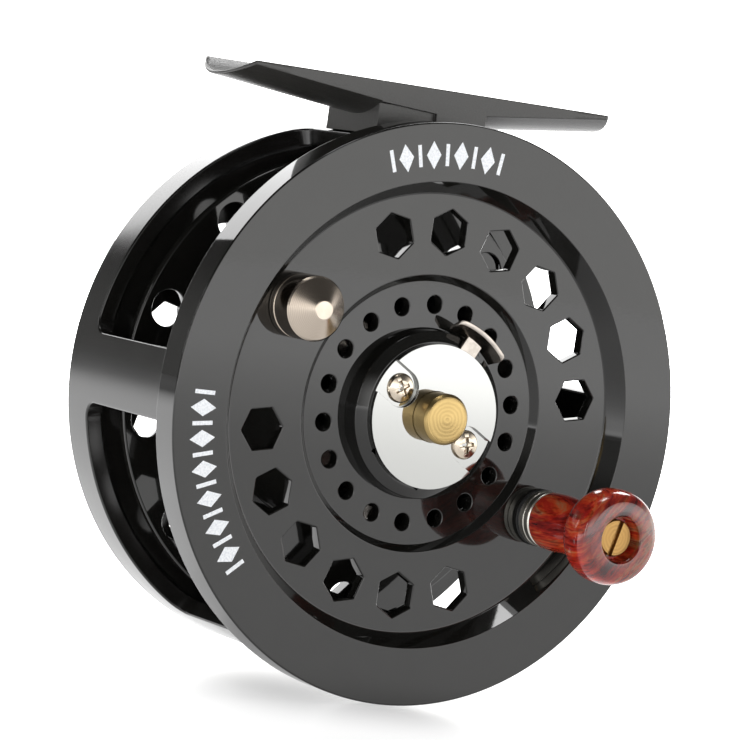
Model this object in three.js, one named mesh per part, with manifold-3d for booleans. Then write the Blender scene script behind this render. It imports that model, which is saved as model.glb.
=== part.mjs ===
// Fly reel: a caged frame with its foot, a spool with a palming rim, a click and a disc drag.
// Millimetres, +Z up to the rod. The spool turns about an axis along Y and its face looks along -Y.
// The parts are laid out from the centre of the rim's face, then shifted so that the origin is the
// middle of the foot's saddle, where the rod sits. Angles run from +X towards +Z.
import * as THREE from "three";
import { mergeVertices } from "three/addons/utils/BufferGeometryUtils.js";
import Module from "manifold-3d";

const wasm = await Module();
wasm.setup();

// ---- driving dimensions ----
const RIM_R = 40; // palming rim
const RIM_DEPTH = 4.8;
const FACE_INNER_R = 32; // inner edge of the rim's flat face
const WEB_Y = 2.6; // recessed web with the hexagonal holes
const WEB_OUTER_R = 30.3;
const WEB_INNER_R = 19.1;
const DISC_Y = 3.6; // inner disc with the small round holes
const DISC_R = 18.2;
const WEB_BACK_Y = 4.4;
const ARBOR_R = 18.4;
const ARBOR_WALL = 1.5;
const FLANGE_R = 33.8; // rear flange of the spool
const FLANGE_Y = 26;
const FLANGE_BACK_Y = 27.4;
const HUB_R = 10.2; // raised hub around the cap
const HUB_BASE_R = 11.7;
const HUB_Y = 0.35;
const HUB_TUBE_R = 7.2;
const HUB_TUBE_END_Y = 25;

const CAGE_R = 37.75; // frame
const CAGE_WALL = 2.5;
const CAGE_FRONT_Y = 2.2;
const CAGE_BACK_Y = 35.4;
const WINDOW_FRONT_Y = 5.6;
const WINDOW_BACK_Y = 29.6;
const WINDOW_CORNER = 2.2;
const PLATE_Y = 30.2;
const PLATE_BACK_Y = 32.6;
const PILLAR_HALF = 7.5; // degrees
const LOWER_PILLAR = 21; // degrees from the bottom to each lower pillar
const BRIDGE_HALF = 13.2; // degrees of ring left under the foot
const BOSS_R = 8.6;
const BOSS_BACK_Y = 34.6;

const FOOT_CENTRE_Y = 17.25;
const FOOT_WIDTH = 14.1;
const FOOT_HALF = 31.3; // half length, to the rounded tips
const FOOT_EDGE_HALF = 29; // half length along its edges
const FOOT_TOP_Z = 44.4;
const SADDLE_SAG = 2.05;
const FOOT_TIP_THICK = 0.4;
const FOOT_ROOT_THICK = 2.85;
const BLOCK_HALF = 8.6;
const SEAM_Z = 38.6; // where the foot stands on the frame
const FOOT_SCREW_X = 5;

const PIN_R = 3.5; // spindle
const PIN_TAIL_R = 3.15;
const PIN_FRONT_Y = -3.85;
const GROOVE_R = 2.7;
const HANDLE_RADIUS = 25.1; // pitch radius of the handle, the counterweight and the hexagonal holes
const HANDLE_ANGLE = -30.6;
const WEIGHT_ANGLE = HANDLE_ANGLE + 180;
const LEVER_ANGLE = HANDLE_ANGLE + 90;
const HEX_R = 3.15; // corner radius of the hexagonal holes
const HOLE_STEP = 20;
const LEVER_TRAVEL = 0.75;

const TEETH = 24;
const GEAR_TIP_R = 11;
const GEAR_ROOT_R = 10.1;
const GEAR_Y = 25.1;
const GEAR_BACK_Y = 26.9;
const PAWL_RADIUS = 14.6;
const PAWL_ANGLE = 300;
const PAWL_LENGTH = 3.52;

// Hub, cap and release plate.
const HUB_BORE_R = 4.6;
const CAP_R = 9.95;
const CAP_Y = -0.6;
const CAP_SCREW_RADIUS = 6.7;
const CAP_POCKET_R = 2.6;
const CAP_POCKET_Y = 0;
const CHANNEL_Y = 2.5; // floor of the hub's channel
const LEVER_Y = 1.6;
const LEVER_THICK = 0.7;
const TAB_HALF = 20; // degrees
const TAB_RELIEF_R = 10.95; // hollow in the hub's side that the tab is pushed into

// Handle, from the web forwards.
const GRIP_START_Y = -0.6;
const GRIP_END_Y = -17.6;
const HEAD_Y = -16.2;
const GRIP_FLOOR_Y = -14.9;
const HANDLE_PIN_R = 1.6;

// Rings of holes: pitch radius, hole radius, angle of the first.
const HEX_ANGLES = [140, 120, 100, 80, 60, 40, -40, -60, -80, -100, -120, -140].map(
  (angle) => angle + HANDLE_ANGLE,
);
const DISC_HOLES = { pitch: 15.07, radius: 1.17, count: 18 };
const FLANGE_HOLES = { pitch: 30, radius: 2.6, count: 12, first: 11.8 };
const BACK_HEXES = { pitch: 27, count: 12, first: 15 };
const BACK_HOLES = { pitch: 18.6, radius: 1.4, first: 30 };

// Click and drag.
const GEAR_SCREW_RADIUS = 5.9;
const GEAR_SCREW_ANGLES = [30, 150, 270];
const SPRING_SCREW_STEP = 36; // degrees from the pawl's post to its spring's screw
const SOCKET_DEPTH = 1.6; // blind holes in the back plate
const PUSH_RADIUS = 7;
const PUSH_ANGLES = [90, 210, 330];
const WASHER_Y = 27.25;
const PRESSURE_Y = 28.22;
const PRESSURE_BACK_Y = 29.4;
const KNOB_R = 12.6;
const KNOB_Y = 33.3;
const KNOB_BACK_Y = 39;

const ROUND = 48; // facets of the large turned parts
const SMALL_ROUND = 20;
const EPS = 0.5; // how far a cutter runs past the face that it cuts
const DEG = Math.PI / 180;

// ---- finishes ----
const finish = (color, roughness, metalness) =>
  new THREE.MeshStandardMaterial({ color, roughness, metalness });
const BLACK_GLOSS = finish(0x151514, 0.08, 0.3);
const BLACK_CAST = finish(0x222120, 0.4, 0.3);
const CHROME = finish(0xe8e8e6, 0.04, 1);
const STEEL = finish(0xb5b0a6, 0.25, 1);
const DARK_STEEL = finish(0x54524e, 0.35, 1);
const BRASS = finish(0xc79a4c, 0.28, 1);
const RESIN = finish(0x9c2a12, 0.12, 0);
const CORK = finish(0x8d6a45, 0.9, 0);
const BLACK_RUBBER = finish(0x141414, 0.6, 0);

// ---- solids from geometry ----
function solid(geometry) {
  const bare = new THREE.BufferGeometry();
  bare.setAttribute("position", geometry.getAttribute("position"));
  bare.setIndex(geometry.getIndex());
  const merged = mergeVertices(bare, 1e-4);
  const triVerts = new Uint32Array(merged.index.array);
  const vertProperties = new Float32Array(merged.attributes.position.array);
  const made = new wasm.Manifold(new wasm.Mesh({ numProp: 3, vertProperties, triVerts }));
  if (made.volume() > 0) return made;
  for (let i = 0; i < triVerts.length; i += 3) {
    [triVerts[i + 1], triVerts[i + 2]] = [triVerts[i + 2], triVerts[i + 1]];
  }
  return new wasm.Manifold(new wasm.Mesh({ numProp: 3, vertProperties, triVerts }));
}

function geometryOf(made) {
  const mesh = made.getMesh();
  const geometry = new THREE.BufferGeometry();
  geometry.setAttribute("position", new THREE.BufferAttribute(mesh.vertProperties, 3));
  geometry.setIndex(new THREE.BufferAttribute(mesh.triVerts, 1));
  geometry.computeVertexNormals();
  return geometry;
}

const polar = (radius, angle) => [radius * Math.cos(angle * DEG), radius * Math.sin(angle * DEG)];

// A turned part about Y from [radius, y] points. A profile off the axis closes on itself.
function turned(profile, segments = SMALL_ROUND) {
  const points = profile.map(([r, y]) => new THREE.Vector2(r, y));
  if (profile[0][0] > 0) points.push(points[0].clone());
  return solid(new THREE.LatheGeometry(points, segments));
}

// A cylinder along Y between two depths, at x, z.
function rod(radius, front, back, x = 0, z = 0, segments = SMALL_ROUND) {
  const geometry = new THREE.CylinderGeometry(radius, radius, back - front, segments);
  return solid(geometry.translate(x, (front + back) / 2, z));
}

function polarRod(radius, front, back, pitch, angle, segments = SMALL_ROUND) {
  const [x, z] = polar(pitch, angle);
  return rod(radius, front, back, x, z, segments);
}

// A hexagonal prism along Y with one corner pointing away from the reel's axis.
function polarHex(radius, front, back, pitch, angle) {
  const [x, z] = polar(pitch, angle);
  const geometry = new THREE.CylinderGeometry(radius, radius, back - front, 6);
  geometry.rotateY(Math.PI / 2 - angle * DEG).translate(x, (front + back) / 2, z);
  return solid(geometry);
}

// A flat plate cut to a shape whose x and y become X and Z.
function plate(shape, front, back, curveSegments = 8) {
  const options = { depth: back - front, bevelEnabled: false, curveSegments };
  const geometry = new THREE.ExtrudeGeometry(shape, options);
  return solid(geometry.rotateX(Math.PI / 2).translate(0, back, 0));
}

// The same, with the shape's y axis turned to point at an angle from +X.
function turnedPlate(shape, front, back, angle, curveSegments = 8) {
  const options = { depth: back - front, bevelEnabled: false, curveSegments };
  const geometry = new THREE.ExtrudeGeometry(shape, options).rotateX(Math.PI / 2);
  return solid(geometry.translate(0, back, 0).rotateY(Math.PI / 2 - angle * DEG));
}

function box(x0, x1, y0, y1, z0, z1) {
  const geometry = new THREE.BoxGeometry(x1 - x0, y1 - y0, z1 - z0);
  return solid(geometry.translate((x0 + x1) / 2, (y0 + y1) / 2, (z0 + z1) / 2));
}

function screwAlongZ(radius, z0, z1, x, y, segments = 16) {
  const geometry = new THREE.CylinderGeometry(radius, radius, z1 - z0, segments);
  return solid(geometry.rotateX(Math.PI / 2).translate(x, y, (z0 + z1) / 2));
}

function rectangle(halfWidth, low, high) {
  const shape = new THREE.Shape();
  shape.moveTo(-halfWidth, low).lineTo(halfWidth, low).lineTo(halfWidth, high);
  return shape.lineTo(-halfWidth, high).closePath();
}

// A slice of a disc about the y axis, reaching an angle either side of it.
function sector(radius, half) {
  const shape = new THREE.Shape();
  shape.moveTo(0, 0);
  for (let i = -4; i <= 4; i++) {
    const turn = (i / 4) * half * DEG;
    shape.lineTo(radius * Math.sin(turn), radius * Math.cos(turn));
  }
  return shape.closePath();
}

// ---- frame ----
// A window cutter: a slab bent round the ring between two angles, with rounded corners.
function ringWindow(from, to) {
  const inner = CAGE_R - CAGE_WALL - 2;
  const outer = CAGE_R + 3;
  const corner = WINDOW_CORNER;
  const cornerAngle = corner / CAGE_R / DEG;
  const columns = [];
  const cornerSteps = 4;
  for (let i = 0; i <= cornerSteps; i++) {
    const turn = (i / cornerSteps) * 90 * DEG;
    columns.push([from + cornerAngle * (1 - Math.cos(turn)), corner * (1 - Math.sin(turn))]);
  }
  const plainSteps = Math.ceil((to - from) / 6);
  const plain = (to - from - 2 * cornerAngle) / plainSteps;
  for (let i = 1; i < plainSteps; i++) columns.push([from + cornerAngle + i * plain, 0]);
  for (let i = cornerSteps; i >= 0; i--) {
    const turn = (i / cornerSteps) * 90 * DEG;
    columns.push([to - cornerAngle * (1 - Math.cos(turn)), corner * (1 - Math.sin(turn))]);
  }
  const position = [];
  for (const [angle, inset] of columns) {
    for (const radius of [inner, outer]) {
      const [x, z] = polar(radius, angle);
      position.push(x, WINDOW_FRONT_Y + inset, z, x, WINDOW_BACK_Y - inset, z);
    }
  }
  const index = [];
  const quad = (a, b, c, d) => index.push(a, b, c, a, c, d);
  for (let i = 0; i < columns.length - 1; i++) {
    const a = 4 * i;
    const b = a + 4;
    quad(a, a + 1, b + 1, b);
    quad(a + 2, b + 2, b + 3, a + 3);
    quad(a, b, b + 2, a + 2);
    quad(a + 1, a + 3, b + 3, b + 1);
  }
  const last = 4 * (columns.length - 1);
  quad(0, 2, 3, 1);
  quad(last, last + 1, last + 3, last + 2);
  const geometry = new THREE.BufferGeometry();
  geometry.setAttribute("position", new THREE.Float32BufferAttribute(position, 3));
  geometry.setIndex(index);
  return solid(geometry);
}

function makeFrame() {
  const inner = CAGE_R - CAGE_WALL;
  const lip = inner - 0.65;
  let made = turned(
    [
      [PIN_TAIL_R + 0.05, PLATE_Y],
      [inner, PLATE_Y],
      [inner, CAGE_FRONT_Y],
      [CAGE_R, CAGE_FRONT_Y],
      [CAGE_R, CAGE_BACK_Y - 0.4],
      [CAGE_R - 0.4, CAGE_BACK_Y],
      [lip + 0.4, CAGE_BACK_Y],
      [lip, CAGE_BACK_Y - 0.4],
      [lip, PLATE_BACK_Y],
      [BOSS_R, PLATE_BACK_Y],
      [BOSS_R, BOSS_BACK_Y],
      [PIN_TAIL_R + 0.05, BOSS_BACK_Y],
    ],
    ROUND,
  );
  const footFront = FOOT_CENTRE_Y - FOOT_WIDTH / 2;
  const footBack = FOOT_CENTRE_Y + FOOT_WIDTH / 2;
  made = made.add(box(-BLOCK_HALF, BLOCK_HALF, footFront, footBack, CAGE_R - 2, SEAM_Z));
  for (const [from, to] of windowSpans()) made = made.subtract(ringWindow(from, to));
  const through = [PLATE_Y - EPS, PLATE_BACK_Y + EPS];
  for (let i = 0; i < BACK_HEXES.count; i++) {
    const step = (360 / BACK_HEXES.count) * i;
    made = made.subtract(polarHex(HEX_R, ...through, BACK_HEXES.pitch, BACK_HEXES.first + step));
    const { radius, pitch, first } = BACK_HOLES;
    made = made.subtract(polarRod(radius, ...through, pitch, first + step, 8));
  }
  for (const angle of PUSH_ANGLES) {
    made = made.subtract(polarRod(0.85, PLATE_Y - EPS, BOSS_BACK_Y + EPS, PUSH_RADIUS, angle, 12));
  }
  const [pawlX, pawlZ] = polar(PAWL_RADIUS, PAWL_ANGLE);
  made = made.subtract(rod(0.95, PLATE_Y - EPS, PLATE_Y + SOCKET_DEPTH, pawlX, pawlZ, 12));
  const [springX, springZ] = polar(PAWL_RADIUS, PAWL_ANGLE - SPRING_SCREW_STEP);
  made = made.subtract(rod(0.95, PLATE_Y - EPS, PLATE_Y + SOCKET_DEPTH, springX, springZ, 12));
  for (const side of [-1, 1]) {
    const x = side * FOOT_SCREW_X;
    made = made.subtract(screwAlongZ(1.4, 34, SEAM_Z + EPS, x, FOOT_CENTRE_Y));
    made = made.subtract(screwAlongZ(2.35, 33.5, 35.6, x, FOOT_CENTRE_Y));
  }
  return made;
}

// Two long side windows below the foot, and three below the middle, with equal pillars between.
function windowSpans() {
  const bridge = [90 - BRIDGE_HALF, 90 + BRIDGE_HALF];
  const pillars = [0, -90 + LOWER_PILLAR, -90 - LOWER_PILLAR, -180];
  const spans = [
    [PILLAR_HALF, bridge[0]],
    [bridge[1], 180 - PILLAR_HALF],
  ];
  for (let i = 0; i < 3; i++) spans.push([pillars[i + 1] + PILLAR_HALF, pillars[i] - PILLAR_HALF]);
  return spans;
}

// ---- foot ----
// A bar bent to a gutter: level edges, a trough between them, tips rounded in plan and thin.
function makeFoot() {
  const geometry = new THREE.BoxGeometry(2, 2, 1, 10, 8, 1);
  const position = geometry.getAttribute("position");
  const slope = (FOOT_ROOT_THICK - FOOT_TIP_THICK) / (FOOT_HALF - BLOCK_HALF);
  for (let i = 0; i < position.count; i++) {
    const along = position.getX(i);
    const across = position.getY(i);
    const top = position.getZ(i) > 0;
    const half = FOOT_EDGE_HALF + (FOOT_HALF - FOOT_EDGE_HALF) * (1 - across * across);
    const x = along * half;
    const trough = SADDLE_SAG * (1 - across * across);
    const thick = FOOT_TIP_THICK + slope * Math.min(FOOT_HALF - Math.abs(x), FOOT_HALF - BLOCK_HALF);
    const z = FOOT_TOP_Z - trough - (top ? 0 : thick);
    position.setXYZ(i, x, FOOT_CENTRE_Y + (across * FOOT_WIDTH) / 2, z);
  }
  const front = FOOT_CENTRE_Y - FOOT_WIDTH / 2;
  const back = FOOT_CENTRE_Y + FOOT_WIDTH / 2;
  let made = solid(geometry).add(
    box(-BLOCK_HALF, BLOCK_HALF, front, back, SEAM_Z, FOOT_TOP_Z - SADDLE_SAG - 0.6),
  );
  for (const side of [-1, 1]) {
    made = made.subtract(screwAlongZ(1.4, SEAM_Z - EPS, 41, side * FOOT_SCREW_X, FOOT_CENTRE_Y));
  }
  return made;
}

function makeFootScrew(side) {
  const x = side * FOOT_SCREW_X;
  const shank = screwAlongZ(1.3, 35, 40.8, x, FOOT_CENTRE_Y);
  const head = screwAlongZ(2.2, 34.3, 35.55, x, FOOT_CENTRE_Y, 20);
  const slot = box(x - 3, x + 3, FOOT_CENTRE_Y - 0.3, FOOT_CENTRE_Y + 0.3, 34, 34.9);
  return shank.add(head).subtract(slot);
}

// ---- spindle ----
function makeSpindle() {
  const made = turned(
    [
      [0, PIN_FRONT_Y],
      [PIN_R - 0.35, PIN_FRONT_Y],
      [PIN_R, PIN_FRONT_Y + 0.35],
      [PIN_R, 1.3],
      [GROOVE_R, 1.3],
      [GROOVE_R, 2.6],
      [PIN_R, 2.6],
      [PIN_R, PLATE_Y],
      [PIN_TAIL_R, PLATE_Y],
      [PIN_TAIL_R, 37],
      [0, 37],
    ],
    32,
  );
  return made.subtract(rod(1.3, 34, 37 + EPS, 0, 0, 16));
}

function makeSpindleNut() {
  const outer = rod(5.1, BOSS_BACK_Y + 0.1, BOSS_BACK_Y + 2, 0, 0, 6);
  return outer.subtract(rod(PIN_TAIL_R + 0.1, BOSS_BACK_Y - EPS, 37, 0, 0, 32));
}

function makeKnobScrew() {
  const shank = rod(1.2, 34.4, 39.2, 0, 0, 16);
  const head = turned(
    [
      [0, 39.05],
      [2.6, 39.05],
      [2.6, 39.8],
      [1.9, 40.3],
      [0, 40.3],
    ],
    20,
  );
  return shank.add(head).subtract(box(-3, 3, 39.7, 41, -0.35, 0.35));
}

// ---- spool ----
function makeSpool() {
  const arborInner = ARBOR_R - ARBOR_WALL;
  const skirtInner = CAGE_R + 0.35;
  let made = turned(
    [
      [HUB_BORE_R, HUB_Y],
      [HUB_R, HUB_Y],
      [HUB_BASE_R - 0.15, 1.3],
      [HUB_BASE_R, DISC_Y],
      [DISC_R, DISC_Y],
      [WEB_INNER_R, WEB_Y],
      [WEB_OUTER_R, WEB_Y],
      [WEB_OUTER_R + 0.35, WEB_Y - 0.35],
      [FACE_INNER_R - 0.25, 0.15],
      [FACE_INNER_R, 0],
      [RIM_R - 0.3, 0],
      [RIM_R, 0.3],
      [RIM_R, RIM_DEPTH - 0.5],
      [RIM_R - 0.5, RIM_DEPTH],
      [skirtInner, RIM_DEPTH],
      [skirtInner, 1.75],
      [33.9, 1.75],
      [32.2, WEB_BACK_Y],
      [ARBOR_R, WEB_BACK_Y],
      [ARBOR_R, FLANGE_Y],
      [FLANGE_R, FLANGE_Y],
      [FLANGE_R, FLANGE_BACK_Y],
      [arborInner, FLANGE_BACK_Y],
      [arborInner, WEB_BACK_Y + 1],
      [HUB_TUBE_R, WEB_BACK_Y + 1],
      [HUB_TUBE_R, HUB_TUBE_END_Y],
      [HUB_BORE_R, HUB_TUBE_END_Y],
    ],
    ROUND,
  );
  for (const angle of HEX_ANGLES) {
    made = made.subtract(polarHex(HEX_R, -EPS, WEB_BACK_Y + EPS, HANDLE_RADIUS, angle));
  }
  for (let i = 0; i < DISC_HOLES.count; i++) {
    const angle = HANDLE_ANGLE + HOLE_STEP * i;
    made = made.subtract(polarRod(DISC_HOLES.radius, 2, WEB_BACK_Y + 1.5, DISC_HOLES.pitch, angle, 8));
  }
  for (let i = 0; i < FLANGE_HOLES.count; i++) {
    const { radius, pitch, first, count } = FLANGE_HOLES;
    const angle = first + (360 / count) * i;
    made = made.subtract(polarRod(radius, FLANGE_Y - EPS, FLANGE_BACK_Y + EPS, pitch, angle, 12));
  }
  const channel = turnedPlate(rectangle(4.7, -9.2, 8.7), -EPS, CHANNEL_Y, LEVER_ANGLE);
  const mouth = turnedPlate(rectangle(2.6, 8, 13), -EPS, CHANNEL_Y, LEVER_ANGLE);
  const insideHub = rod(13, -1, DISC_Y, 0, 0, 32);
  const relief = turned(
    [
      [TAB_RELIEF_R, LEVER_Y - 0.2],
      [13, LEVER_Y - 0.2],
      [13, CHANNEL_Y],
      [TAB_RELIEF_R, CHANNEL_Y],
    ],
    ROUND,
  ).intersect(turnedPlate(sector(20, TAB_HALF + 4), 0, CHANNEL_Y + 1, LEVER_ANGLE));
  made = made.subtract(channel).subtract(mouth.intersect(insideHub)).subtract(relief);
  made = made.subtract(polarRod(1.4, 0, WEB_BACK_Y + EPS, HANDLE_RADIUS, WEIGHT_ANGLE, 16));
  made = made.subtract(
    polarRod(HANDLE_PIN_R + 0.1, 0, WEB_BACK_Y + EPS, HANDLE_RADIUS, HANDLE_ANGLE, 16),
  );
  for (const angle of [HANDLE_ANGLE, WEIGHT_ANGLE]) {
    made = made.subtract(polarRod(1, HUB_Y - EPS, WEB_BACK_Y + 1.5, CAP_SCREW_RADIUS, angle, 12));
  }
  for (const angle of GEAR_SCREW_ANGLES) {
    made = made.subtract(polarRod(0.75, 20, HUB_TUBE_END_Y + EPS, GEAR_SCREW_RADIUS, angle, 12));
  }
  return made;
}

function makeBushing(front, back) {
  return turned(
    [
      [PIN_R + 0.07, front],
      [HUB_BORE_R - 0.08, front],
      [HUB_BORE_R - 0.08, back],
      [PIN_R + 0.07, back],
    ],
    32,
  );
}

function makeClickGear() {
  const shape = new THREE.Shape();
  const pitch = 360 / TEETH;
  for (let i = 0; i < TEETH; i++) {
    const corners = [
      [GEAR_ROOT_R, -0.34],
      [GEAR_TIP_R, -0.08],
      [GEAR_TIP_R, 0.08],
      [GEAR_ROOT_R, 0.34],
    ];
    for (const [radius, share] of corners) {
      const [x, y] = polar(radius, (i + share) * pitch);
      if (i === 0 && share === -0.34) shape.moveTo(x, y);
      else shape.lineTo(x, y);
    }
  }
  shape.closePath();
  let made = plate(shape, GEAR_Y, GEAR_BACK_Y).subtract(rod(3.9, GEAR_Y - 1, GEAR_BACK_Y + 1));
  for (const angle of GEAR_SCREW_ANGLES) {
    made = made.subtract(polarRod(0.85, GEAR_Y - 1, 28, GEAR_SCREW_RADIUS, angle, 12));
    made = made.subtract(polarRod(1.45, GEAR_BACK_Y - 0.9, 28, GEAR_SCREW_RADIUS, angle, 16));
  }
  return made;
}

function makeGearScrew(angle) {
  const shank = polarRod(0.7, 21, GEAR_BACK_Y - 0.5, GEAR_SCREW_RADIUS, angle, 12);
  const head = polarRod(1.35, GEAR_BACK_Y - 0.85, GEAR_BACK_Y - 0.05, GEAR_SCREW_RADIUS, angle, 16);
  return shank.add(head);
}

// The cap is a disc with two pockets open to its edge for the screws, and a tongue that holds
// the release plate down in its channel.
function makeHubCap() {
  const disc = turned(
    [
      [0, CAP_Y],
      [CAP_R - 0.2, CAP_Y],
      [CAP_R, CAP_Y + 0.2],
      [CAP_R, HUB_Y],
      [0, HUB_Y],
    ],
    48,
  );
  const tongue = turnedPlate(rectangle(4.4, -7, 7.4), 0.2, 1.45, LEVER_ANGLE);
  let made = disc.add(tongue).subtract(rod(3.75, -2, 3, 0, 0, 32));
  for (const angle of [HANDLE_ANGLE, WEIGHT_ANGLE]) {
    const pocket = new THREE.Shape();
    pocket.moveTo(CAP_POCKET_R, CAP_SCREW_RADIUS);
    pocket.lineTo(CAP_POCKET_R, 12).lineTo(-CAP_POCKET_R, 12);
    pocket.lineTo(-CAP_POCKET_R, CAP_SCREW_RADIUS);
    pocket.absarc(0, CAP_SCREW_RADIUS, CAP_POCKET_R, Math.PI, 2 * Math.PI, false);
    made = made.subtract(turnedPlate(pocket, -2, CAP_POCKET_Y, angle, 10));
    made = made.subtract(polarRod(1, -1, 2, CAP_SCREW_RADIUS, angle, 12));
  }
  return made;
}

// A pan head with a cross recess.
function makeCapScrew(angle) {
  const [x, z] = polar(CAP_SCREW_RADIUS, angle);
  const head = turned(
    [
      [0, CAP_Y - 0.15],
      [1, CAP_Y - 0.1],
      [1.6, CAP_Y + 0.15],
      [1.8, CAP_POCKET_Y - 0.2],
      [1.8, CAP_POCKET_Y],
      [0.9, CAP_POCKET_Y],
      [0.9, 5],
      [0, 5],
    ],
    20,
  ).translate([x, 0, z]);
  const armHalf = 0.22;
  const cross = box(-1.05, 1.05, -2, CAP_Y + 0.35, -armHalf, armHalf).add(
    box(-armHalf, armHalf, -2, CAP_Y + 0.35, -1.05, 1.05),
  );
  return head.subtract(cross.rotate([0, 25, 0]).translate([x, 0, z]));
}

// The release plate slides in the hub's channel: a window round the spindle, a stem out through
// the hub and a curved tab that leans away from it.
function makeReleaseLever() {
  const body = new THREE.Shape();
  body.moveTo(-4.4, -6.2).lineTo(4.4, -6.2).lineTo(4.4, 6.6).lineTo(1.4, 8);
  body.lineTo(1.4, 12.6).lineTo(-1.4, 12.6).lineTo(-1.4, 8).lineTo(-4.4, 6.6).closePath();
  const sheet = turnedPlate(body, LEVER_Y, LEVER_Y + LEVER_THICK, LEVER_ANGLE);
  const window = rod(3.65, 0, 4, 0, 0, 32).translate([
    LEVER_TRAVEL * Math.cos(LEVER_ANGLE * DEG),
    0,
    LEVER_TRAVEL * Math.sin(LEVER_ANGLE * DEG),
  ]);
  const cone = turned(
    [
      [12, LEVER_Y + LEVER_THICK],
      [13.3, 0],
      [13.95, 0],
      [12.65, LEVER_Y + LEVER_THICK],
    ],
    72,
  );
  const tab = cone.intersect(turnedPlate(sector(20, TAB_HALF), -1, 4, LEVER_ANGLE));
  return sheet.subtract(window).add(tab);
}

// A bowed leaf between the end of the channel and the release plate.
function makeLatchSpring() {
  const bow = (offset) => {
    const points = [];
    for (let i = -6; i <= 6; i++) {
      points.push([(i / 6) * 3.6, -8.8 + 2.3 * (1 - (i / 6) ** 2) + offset]);
    }
    return points;
  };
  const outline = [...bow(0.25), ...bow(0).reverse()].map(([x, y]) => new THREE.Vector2(x, y));
  return turnedPlate(new THREE.Shape(outline), 1.6, 2.3, LEVER_ANGLE);
}

function makeCounterweight() {
  const [x, z] = polar(HANDLE_RADIUS, WEIGHT_ANGLE);
  const made = turned(
    [
      [0, -3.8],
      [1.3, -3.8],
      [4.2, -1.8],
      [4.4, -1.55],
      [4.4, WEB_Y],
      [0, WEB_Y],
    ],
    40,
  );
  return made.subtract(rod(1.35, -0.6, WEB_Y + EPS, 0, 0, 16)).translate([x, 0, z]);
}

function makeCounterweightScrew() {
  const shank = polarRod(1.25, -0.4, WEB_BACK_Y + 0.4, HANDLE_RADIUS, WEIGHT_ANGLE, 16);
  const head = polarRod(2.4, WEB_BACK_Y, WEB_BACK_Y + 1.3, HANDLE_RADIUS, WEIGHT_ANGLE, 20);
  const [x, z] = polar(HANDLE_RADIUS, WEIGHT_ANGLE);
  return shank.add(head).subtract(box(x - 3, x + 3, WEB_BACK_Y + 0.8, 7, z - 0.3, z + 0.3));
}

// ---- handle ----
function ringAtHandle(inner, outer, front, back, chamfer, segments) {
  const [x, z] = polar(HANDLE_RADIUS, HANDLE_ANGLE);
  return turned(
    [
      [inner, front],
      [outer - chamfer, front],
      [outer, front + chamfer],
      [outer, back],
      [inner, back],
    ],
    segments,
  ).translate([x, 0, z]);
}

function makeHandleScrew() {
  const [x, z] = polar(HANDLE_RADIUS, HANDLE_ANGLE);
  const made = turned(
    [
      [0, HEAD_Y],
      [2.35, HEAD_Y],
      [2.55, HEAD_Y + 0.2],
      [2.55, GRIP_FLOOR_Y - 0.1],
      [HANDLE_PIN_R, GRIP_FLOOR_Y - 0.1],
      [HANDLE_PIN_R, 5.9],
      [0, 5.9],
    ],
    24,
  );
  const slot = box(-3, 3, HEAD_Y - 1, HEAD_Y + 0.6, -0.35, 0.35).rotate([0, -74, 0]);
  return made.subtract(slot).translate([x, 0, z]);
}

function makeHandleKnob() {
  const [x, z] = polar(HANDLE_RADIUS, HANDLE_ANGLE);
  const grip = new THREE.SplineCurve(
    [
      [4.05, -1.1],
      [4.05, -3.5],
      [3.8, -6.5],
      [3.5, -8.8],
      [3.75, -10.2],
      [4.75, -11.3],
      [5.8, -12.1],
      [6.45, -13.2],
      [6.6, -14.7],
      [6.5, -16.1],
      [6.05, -17.1],
      [5.2, GRIP_END_Y],
    ].map(([r, y]) => new THREE.Vector2(r, y)),
  );
  const outside = grip.getPoints(13).map((p) => [p.x, p.y]);
  const profile = [
    [2.45, GRIP_START_Y],
    [3.85, GRIP_START_Y],
    ...outside,
    [3.4, GRIP_END_Y],
    [3.1, GRIP_END_Y + 0.3],
    [3.1, GRIP_FLOOR_Y],
    [2.45, GRIP_FLOOR_Y],
  ];
  return turned(profile, 28).translate([x, 0, z]);
}

// ---- click ----
function makeClickPawl() {
  const [px, pz] = polar(PAWL_RADIUS, PAWL_ANGLE);
  const nose = new THREE.Shape();
  nose.moveTo(-1.35, 0).lineTo(-0.15, -PAWL_LENGTH).lineTo(0.15, -PAWL_LENGTH).lineTo(1.35, 0);
  nose.closePath();
  const made = turnedPlate(nose, 25.3, 26.7, PAWL_ANGLE).translate([px, 0, pz]);
  const ring = rod(1.6, 25.3, 26.7, px, pz, 20);
  return made.add(ring).subtract(rod(1, 25, 27, px, pz, 20));
}

function makePawlPost() {
  const [px, pz] = polar(PAWL_RADIUS, PAWL_ANGLE);
  const post = rod(0.9, 24.9, PLATE_Y + 1.4, px, pz, 20);
  return post.add(rod(1.6, 26.85, PLATE_Y - 0.02, px, pz, 20));
}

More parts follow.
